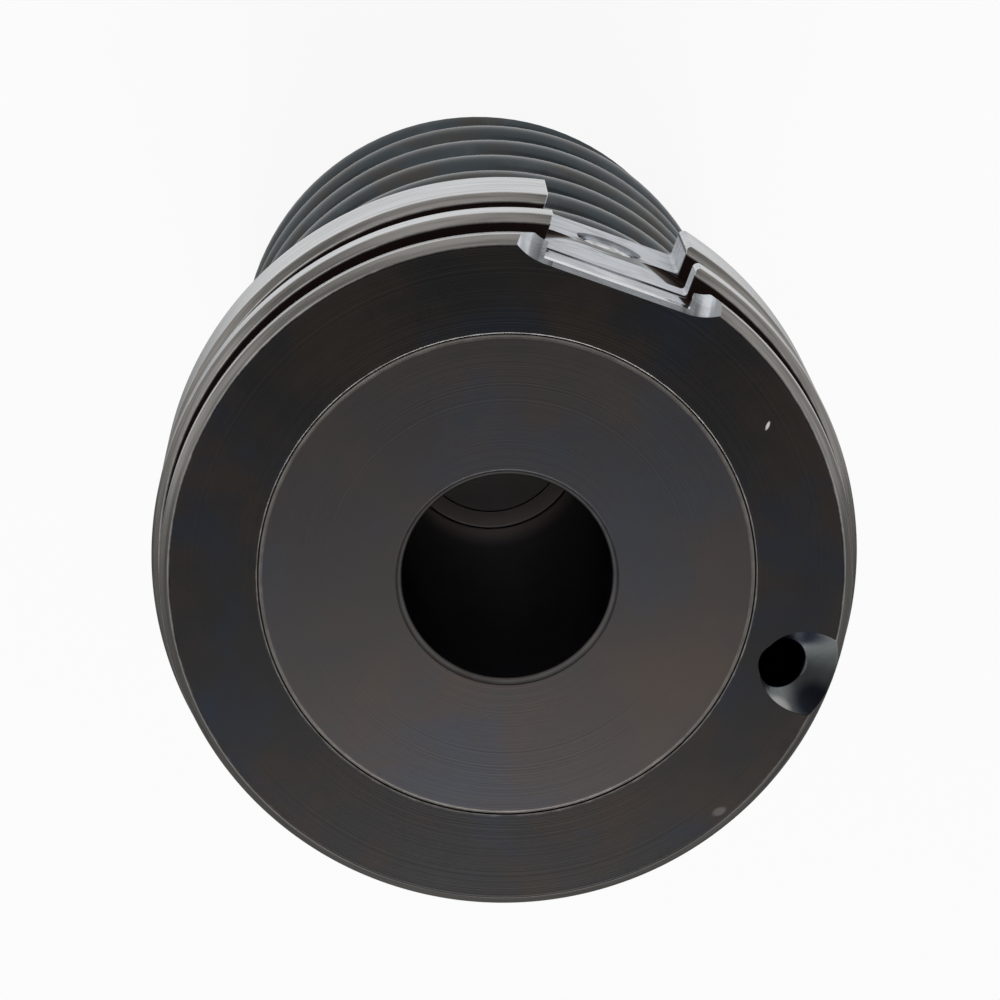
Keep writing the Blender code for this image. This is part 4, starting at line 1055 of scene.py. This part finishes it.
def finishAs(slot, piece, body, node):
    # A piece whose look is simply that of its material slot.
    finishPiece(piece, finishes[slot], body, node)


pilotSpringSize = {"meanRadius": 3.4, "wireRadius": 0.4, "turns": 4.5, "top": 60.42, "length": 6.68}


def makePilotSpring():
    # A light open coil of even pitch under the pilot cone.
    size = named(pilotSpringSize)
    wire = size.wireRadius * mm
    bottom, top = faceHeight - (size.top + size.length) * mm, faceHeight - size.top * mm

    def heightAt(turn):
        # Height of the wire's middle after so many turns, in metres.
        return bottom + wire + (top - bottom - 2 * wire) * turn / size.turns

    return coilPiece("pilotCoil", size, (0, size.turns), heightAt, (bottom, top), 0.0, 72, 20)


pilotSpring = makePilotSpring()
finishAs("oil_tempered_spring_steel", pilotSpring, "poppet", "pilot_spring")
pilotSpringEnd = pilotSpringSize["top"] + pilotSpringSize["length"]
shortenWith(pilotSpring, "pilot_lift", pilotSpringEnd, pilotSpringSize["length"])


def depthsOf(node):
    # Depths of a piece's top and bottom below the control face, in mm.
    low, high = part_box(node)
    return (faceHeight - high[2]) / mm, (faceHeight - low[2]) / mm


rearSize = {
    "plateRadius": 22.8, "plateSpigot": 18.7, "plateSpigotHeight": 2.6, "plateBore": 7.3,
    "plateRecess": 13.4, "plateWeb": 4.2, "plateChamfer": 0.8, "recessChamfer": 0.4,
    "washerInner": 18.5, "washerOuter": 25.0, "shimInner": 19.0, "shimOuter": 22.8,
    "nutRadius": 12.5, "nutBore": 7.3, "nutChamfer": 0.5, "nutLead": 0.3, "nutSlotWidth": 3.6,
    "nutSlotDepth": 1.8,
}


def makeSpringPlate():
    # Spigot for the spring, web round the stem and a recess for the nut, all in one profile.
    size, chamfer = named(rearSize), rearSize["plateChamfer"]
    top, end = depthsOf("spring_plate")
    seat, web = top + size.plateSpigotHeight, top + size.plateWeb
    return turnedPiece("springPlate", [
        (size.plateBore, top, 0.2), (size.plateSpigot - chamfer, top, 0.15),
        (size.plateSpigot, top + chamfer, 0.2), (size.plateSpigot, seat, 0.15),
        (size.plateRadius - chamfer, seat, 0.15), (size.plateRadius, seat + chamfer, 0.25),
        (size.plateRadius, end - chamfer, 0.25), (size.plateRadius - chamfer, end, 0.15),
        (size.plateRecess + size.recessChamfer, end, 0.12),
        (size.plateRecess, end - size.recessChamfer, 0.15),
        (size.plateRecess, web, 0.5), (size.plateBore, web, 0.2),
    ], 320)


def makeFlatRing(name, node, inner, outer, rounding):
    # A flat ring with rounded edges, as high as the plain piece that it replaces.
    top, end = depthsOf(node)
    corners = [(inner, top), (outer, top), (outer, end), (inner, end)]
    return turnedPiece(name, [(*corner, rounding) for corner in corners], 320)


def makeLockNut():
    # A chamfered ring with four key slots across its rim.
    size = named(rearSize)
    top, end = depthsOf("lock_nut")
    chamfer, lead, rim = size.nutChamfer, size.nutLead, size.nutRadius
    nut = turnedPiece("lockNut", [
        (size.nutBore + lead, top, 0.1), (rim - chamfer, top, 0.1), (rim, top + chamfer, 0.2),
        (rim, end - chamfer, 0.2), (rim - chamfer, end, 0.1), (size.nutBore + lead, end, 0.15),
        (size.nutBore, end - lead, 0.15), (size.nutBore, top + lead, 0.1),
    ], 256)
    half, floor = size.nutSlotWidth / 2, size.nutRadius - size.nutSlotDepth
    outline = [(floor, -half), (20, -half), (20, half), (floor, half)]
    for quarter in range(4):
        sides = [[below(x, y, depth) for x, y in outline] for depth in (top - 2, end + 2)]
        cutAway(nut, slabMesh("nutSlot", *sides, turned(90 * quarter)))
    sealMesh(nut.data)
    return nut


finishAs("dark_steel", makeSpringPlate(), "poppet", "spring_plate")
shim = makeFlatRing("springShim", "spring_shim", rearSize["shimInner"], rearSize["shimOuter"], 0.12)
finishAs("bright_steel", shim, "poppet", "spring_shim")
washerRadii = (rearSize["washerInner"], rearSize["washerOuter"])
washer = makeFlatRing("springWasher", "spring_washer", *washerRadii, 0.25)
finishAs("dark_steel", washer, "sleeve", "spring_washer")
finishAs("black_oxide_steel", makeLockNut(), "poppet", "lock_nut")


cageSize = {
    "bore": 15.8, "tube": 18.2, "spigot": 20.0, "top": 12.0, "spigotEnd": 20.2, "hubTop": 60.0, "end": 78.0,
    "bushBore": 14.6, "rib": 12.97, "ribTop": 67.9, "ribEnd": 70.1, "lead": 1.05,
    "windowWidth": 15.0, "windowTop": 28.5, "windowEnd": 54.5, "windowCorner": 3.0,
    "pinRadius": 1.1, "pinPlace": 18.65, "pinDepth": 3.3,
}


def makeCage():
    # Tube with a spigot and a hub, four round-cornered windows and the hole of its key pin.
    size = named(cageSize)
    corners = [
        (size.bore + size.lead, size.top, 0.12), (size.spigot, size.top, 0.15),
        (size.spigot, size.spigotEnd, 0.12), (size.tube, size.spigotEnd, 0.12),
        (size.tube, size.end - size.lead, 0.25), (size.tube - size.lead, size.end, 0.25),
        (size.bushBore, size.end, 0.12), (size.bushBore, size.ribEnd, 0.08),
        (size.rib, size.ribEnd, 0.08), (size.rib, size.ribTop, 0.08),
        (size.bushBore, size.ribTop, 0.08), (size.bushBore, size.hubTop, 0.12),
        (size.bore, size.hubTop, 0.15), (size.bore, size.top + size.lead, 0.2),
    ]
    cage = turnedPiece("guideTube", corners, 480, 3)
    corner, outline = size.windowCorner, []
    right, top, end = size.windowWidth / 2 - corner, size.windowTop + corner, size.windowEnd - corner
    for x, y, first in ((right, top, -90), (right, end, 0), (-right, end, 90), (-right, top, 180)):
        outline += circlePart(x, y, corner, first, first + 90, 12)
    for quarter in range(4):
        sides = [[below(x, y, depth) for y, depth in outline] for x in (2, 30)]
        cutAway(cage, slabMesh("window", *sides, turned(90 * quarter)))
    place = moved(-size.pinPlace, 0, size.top)
    radii = (size.pinRadius, size.pinRadius)
    cutAway(cage, coneMesh("pinHole", *radii, -size.pinDepth, size.pinDepth, 48, place))
    sealMesh(cage.data)
    return cage


finishAs("dark_steel", makeCage(), "sleeve", "guide_cage")


plugSize = {"clearance": 0.3, "length": 3.4, "recess": 0.2}
plugLook = {"oily": (0.20, 0.18, 0.165), "roughness": 0.3, "shadeFrom": 1.4, "shadeTo": 0.5}


def plugMaterial():
    # Worn nearly level with the milled floor, smeared with oil, and shaded along its front rim.
    look, depth = named(plugLook), collarSize["plugDepth"]
    material, shader, axis = startMaterial("plugSteel")
    marks = turnedRelief(shader, axis, 4.0, 0.4, 0.08)[0]
    grain = noise(axis["Object"], 1.2, 5.0, 0.6)
    colour = blendColours(stepMask(grain, 0.35, 0.60), look.oily, collarLook["milledLight"])
    level = axis["Depth"] + spread(grain, 0.8)
    front = 1 - stepMask(level, depth - look.shadeFrom, depth - look.shadeTo)
    colour = blendColours(front * 0.95, colour, collarLook["stepShadow"])
    finishSurface(shader, colour, look.roughness, (marks, 0.12))
    return material


def makePlug():
    # The press plug of the cross drilling: a slightly crowned, chamfered pin set into the notch floor.
    radius, length = collarSize["plugRadius"] - plugSize["clearance"], plugSize["length"]
    out = collarSize["notchFloor"] - plugSize["recess"]
    size = named(collarSize)
    place = turned(size.notchAngle) @ moved(out, size.plugSide, size.plugDepth) @ turned(90, "Y")
    corners = [
        (0, 0.0, 0), (radius - 1.2, 0.02, 0.6), (radius - 0.5, 0.10, 0.25), (radius, 0.55, 0.2),
        (radius, length - 0.5, 0.2), (radius - 0.5, length, 0.2), (0, length, 0),
    ]
    return turnedPiece("crossPlug", corners, 96, 4, place)


finishPiece(makePlug(), plugMaterial(), "sleeve", "notch_plug")


viewSize = {
    "place": (-10.9, 87.6, 315.0),  # mm from the axis, and above the control face
    "lens": 140.9, "sensor": 36.0, "aim": (-0.27, 3.66, -12.0),
}


def makeCamera():
    # Looks down on the face from the notch's side, with the notch up in the picture.
    data = bpy.data.cameras.new("viewCamera")
    data.sensor_width = viewSize["sensor"]
    data.lens = viewSize["lens"]
    data.clip_start, data.clip_end = 0.01, 20.0
    camera = newObject("viewCamera", data)
    x, y, above = viewSize["place"]
    place = Vector(below(x, y, -above))
    aim = Vector((0, 0, faceHeight)) + Vector(viewSize["aim"]) * mm
    ahead = (aim - place).normalized()
    right = Vector((1, 0, 0))
    right = (right - ahead * right.dot(ahead)).normalized()
    up = right.cross(ahead)
    camera.matrix_world = Matrix.Translation(place) @ Matrix((right, up, -ahead)).transposed().to_4x4()
    bpy.context.scene.camera = camera


lightSize = {
    "horizon": 1.0, "zenith": 0.17, "dimFrom": 0.25, "dimTo": 0.92, "seenWhite": 0.99,
    # soft grey panels in the room: bearing and half width in degrees, darkening
    "panels": ((64, 15, 0.72), (132, 13, 0.62), (205, 18, 0.45), (330, 18, 0.45)),
    # lamps: name, place, diameter, power
    "boxes": (
        ("frontSoftBox", (0.03, -0.60, 0.95), 0.5, 4.6),
        ("sideSoftBox", (-0.6, 0.45, 0.6), 0.6, 0.5),
    ),
    # the floor in mirror rays: grey at and before floorFrom, white at and past floorTo
    "floorNear": 0.21, "floorFar": 1.0, "floorFrom": -0.012, "floorTo": 0.036,
    "floorTone": 0.86, "cameraShare": 0.91, "mirrorShare": 0.92, "floorHalf": 3.0, "floorDrop": 0.0002,
}


def softBox(name, place, side, power):
    # A round soft lamp that looks at the middle of the valve.
    data = bpy.data.lights.new(name, "AREA")
    data.shape = "DISK"
    data.size = side
    data.energy = power
    lamp = newObject(name, data)
    lamp.location = place
    lamp.rotation_mode = "QUATERNION"
    way = Vector((0, 0, 0.5 * faceHeight)) - Vector(place)
    lamp.rotation_quaternion = way.to_track_quat("-Z", "Y")


def makeWorld():
    # A white room: bright round the horizon with a few soft grey panels, dimmer overhead.
    world = bpy.data.worlds.new("studioRoom")
    bpy.context.scene.world = world
    world.use_nodes = True
    tree, size = world.node_tree, named(lightSize)
    tree.nodes.clear()
    way = addNode("TexCoord", {}, tree)["Generated"]
    lift = addNode("SeparateXYZ", {0: way})[2]
    dimmed = stepMask(lift, size.dimFrom, size.dimTo)
    level = blendValues(dimmed, size.horizon, size.zenith)
    for bearing, half, dark in size.panels:
        angle = math.radians(bearing)
        facing = vectorCalc("DOT_PRODUCT", way, (math.cos(angle), math.sin(angle), 0))
        outer, inner = math.cos(math.radians(1.6 * half)), math.cos(math.radians(0.5 * half))
        level = level * stepMask(facing, outer, inner, 1.0, 1.0 - dark)
    room = addNode("Background", {"Color": (1, 1, 1, 1), "Strength": level})
    seen = addNode("Background", {"Color": (1, 1, 1, 1), "Strength": size.seenWhite}, tree)
    rays = addNode("LightPath", {}, tree)["Is Camera Ray"]
    mixed = addNode("MixShader", {0: rays, 1: room[0], 2: seen[0]})
    addNode("OutputWorld", {"Surface": mixed[0]})


def makeFloor():
    # A pale sheet under the plate. Camera rays see it mostly as plain white with the shadow left in,
    # mirror rays see it white behind the valve and grey in front, where its own shadow lies.
    size = named(lightSize)
    half = size.floorHalf
    corners = [(-half, -half, 0), (half, -half, 0), (half, half, 0), (-half, half, 0)]
    mesh = bpy.data.meshes.new("studioFloor")
    mesh.from_pydata(corners, [], [(0, 1, 2, 3)])
    floor = newObject("studioFloor", mesh)
    material = bpy.data.materials.new("paleSheet")
    material.use_nodes = True
    tree = material.node_tree
    shader = tree.nodes["Principled BSDF"]
    shader.inputs["Base Color"].default_value = (*[size.floorTone] * 3, 1)
    shader.inputs["Roughness"].default_value = 0.9
    shader.inputs["Specular IOR Level"].default_value = 0.1
    path = addNode("LightPath", {}, tree)
    place = addNode("SeparateXYZ", {0: addNode("TexCoord", {}, tree)["Object"]})
    across = stepMask(place[1], size.floorFrom, size.floorTo, size.floorNear, size.floorFar)
    level = blendValues(path["Is Camera Ray"], across, 1.0)
    glow = addNode("Emission", {"Color": (1, 1, 1, 1), "Strength": level})
    shares = (("Is Camera Ray", size.cameraShare), ("Is Glossy Ray", size.mirrorShare))
    share = strongest(*[path[ray] * part for ray, part in shares])
    mixed = addNode("MixShader", {0: share, 1: Wire(shader.outputs[0]), 2: glow[0]})
    link(mixed[0], tree.nodes["Material Output"].inputs["Surface"])
    mesh.materials.append(material)
    floor.location.z = -size.floorDrop


makeWorld()
makeFloor()
for box in lightSize["boxes"]:
    softBox(*box)
makeCamera()
bpy.context.scene.view_settings.view_transform = "Standard"
print("stage, light and camera ready")
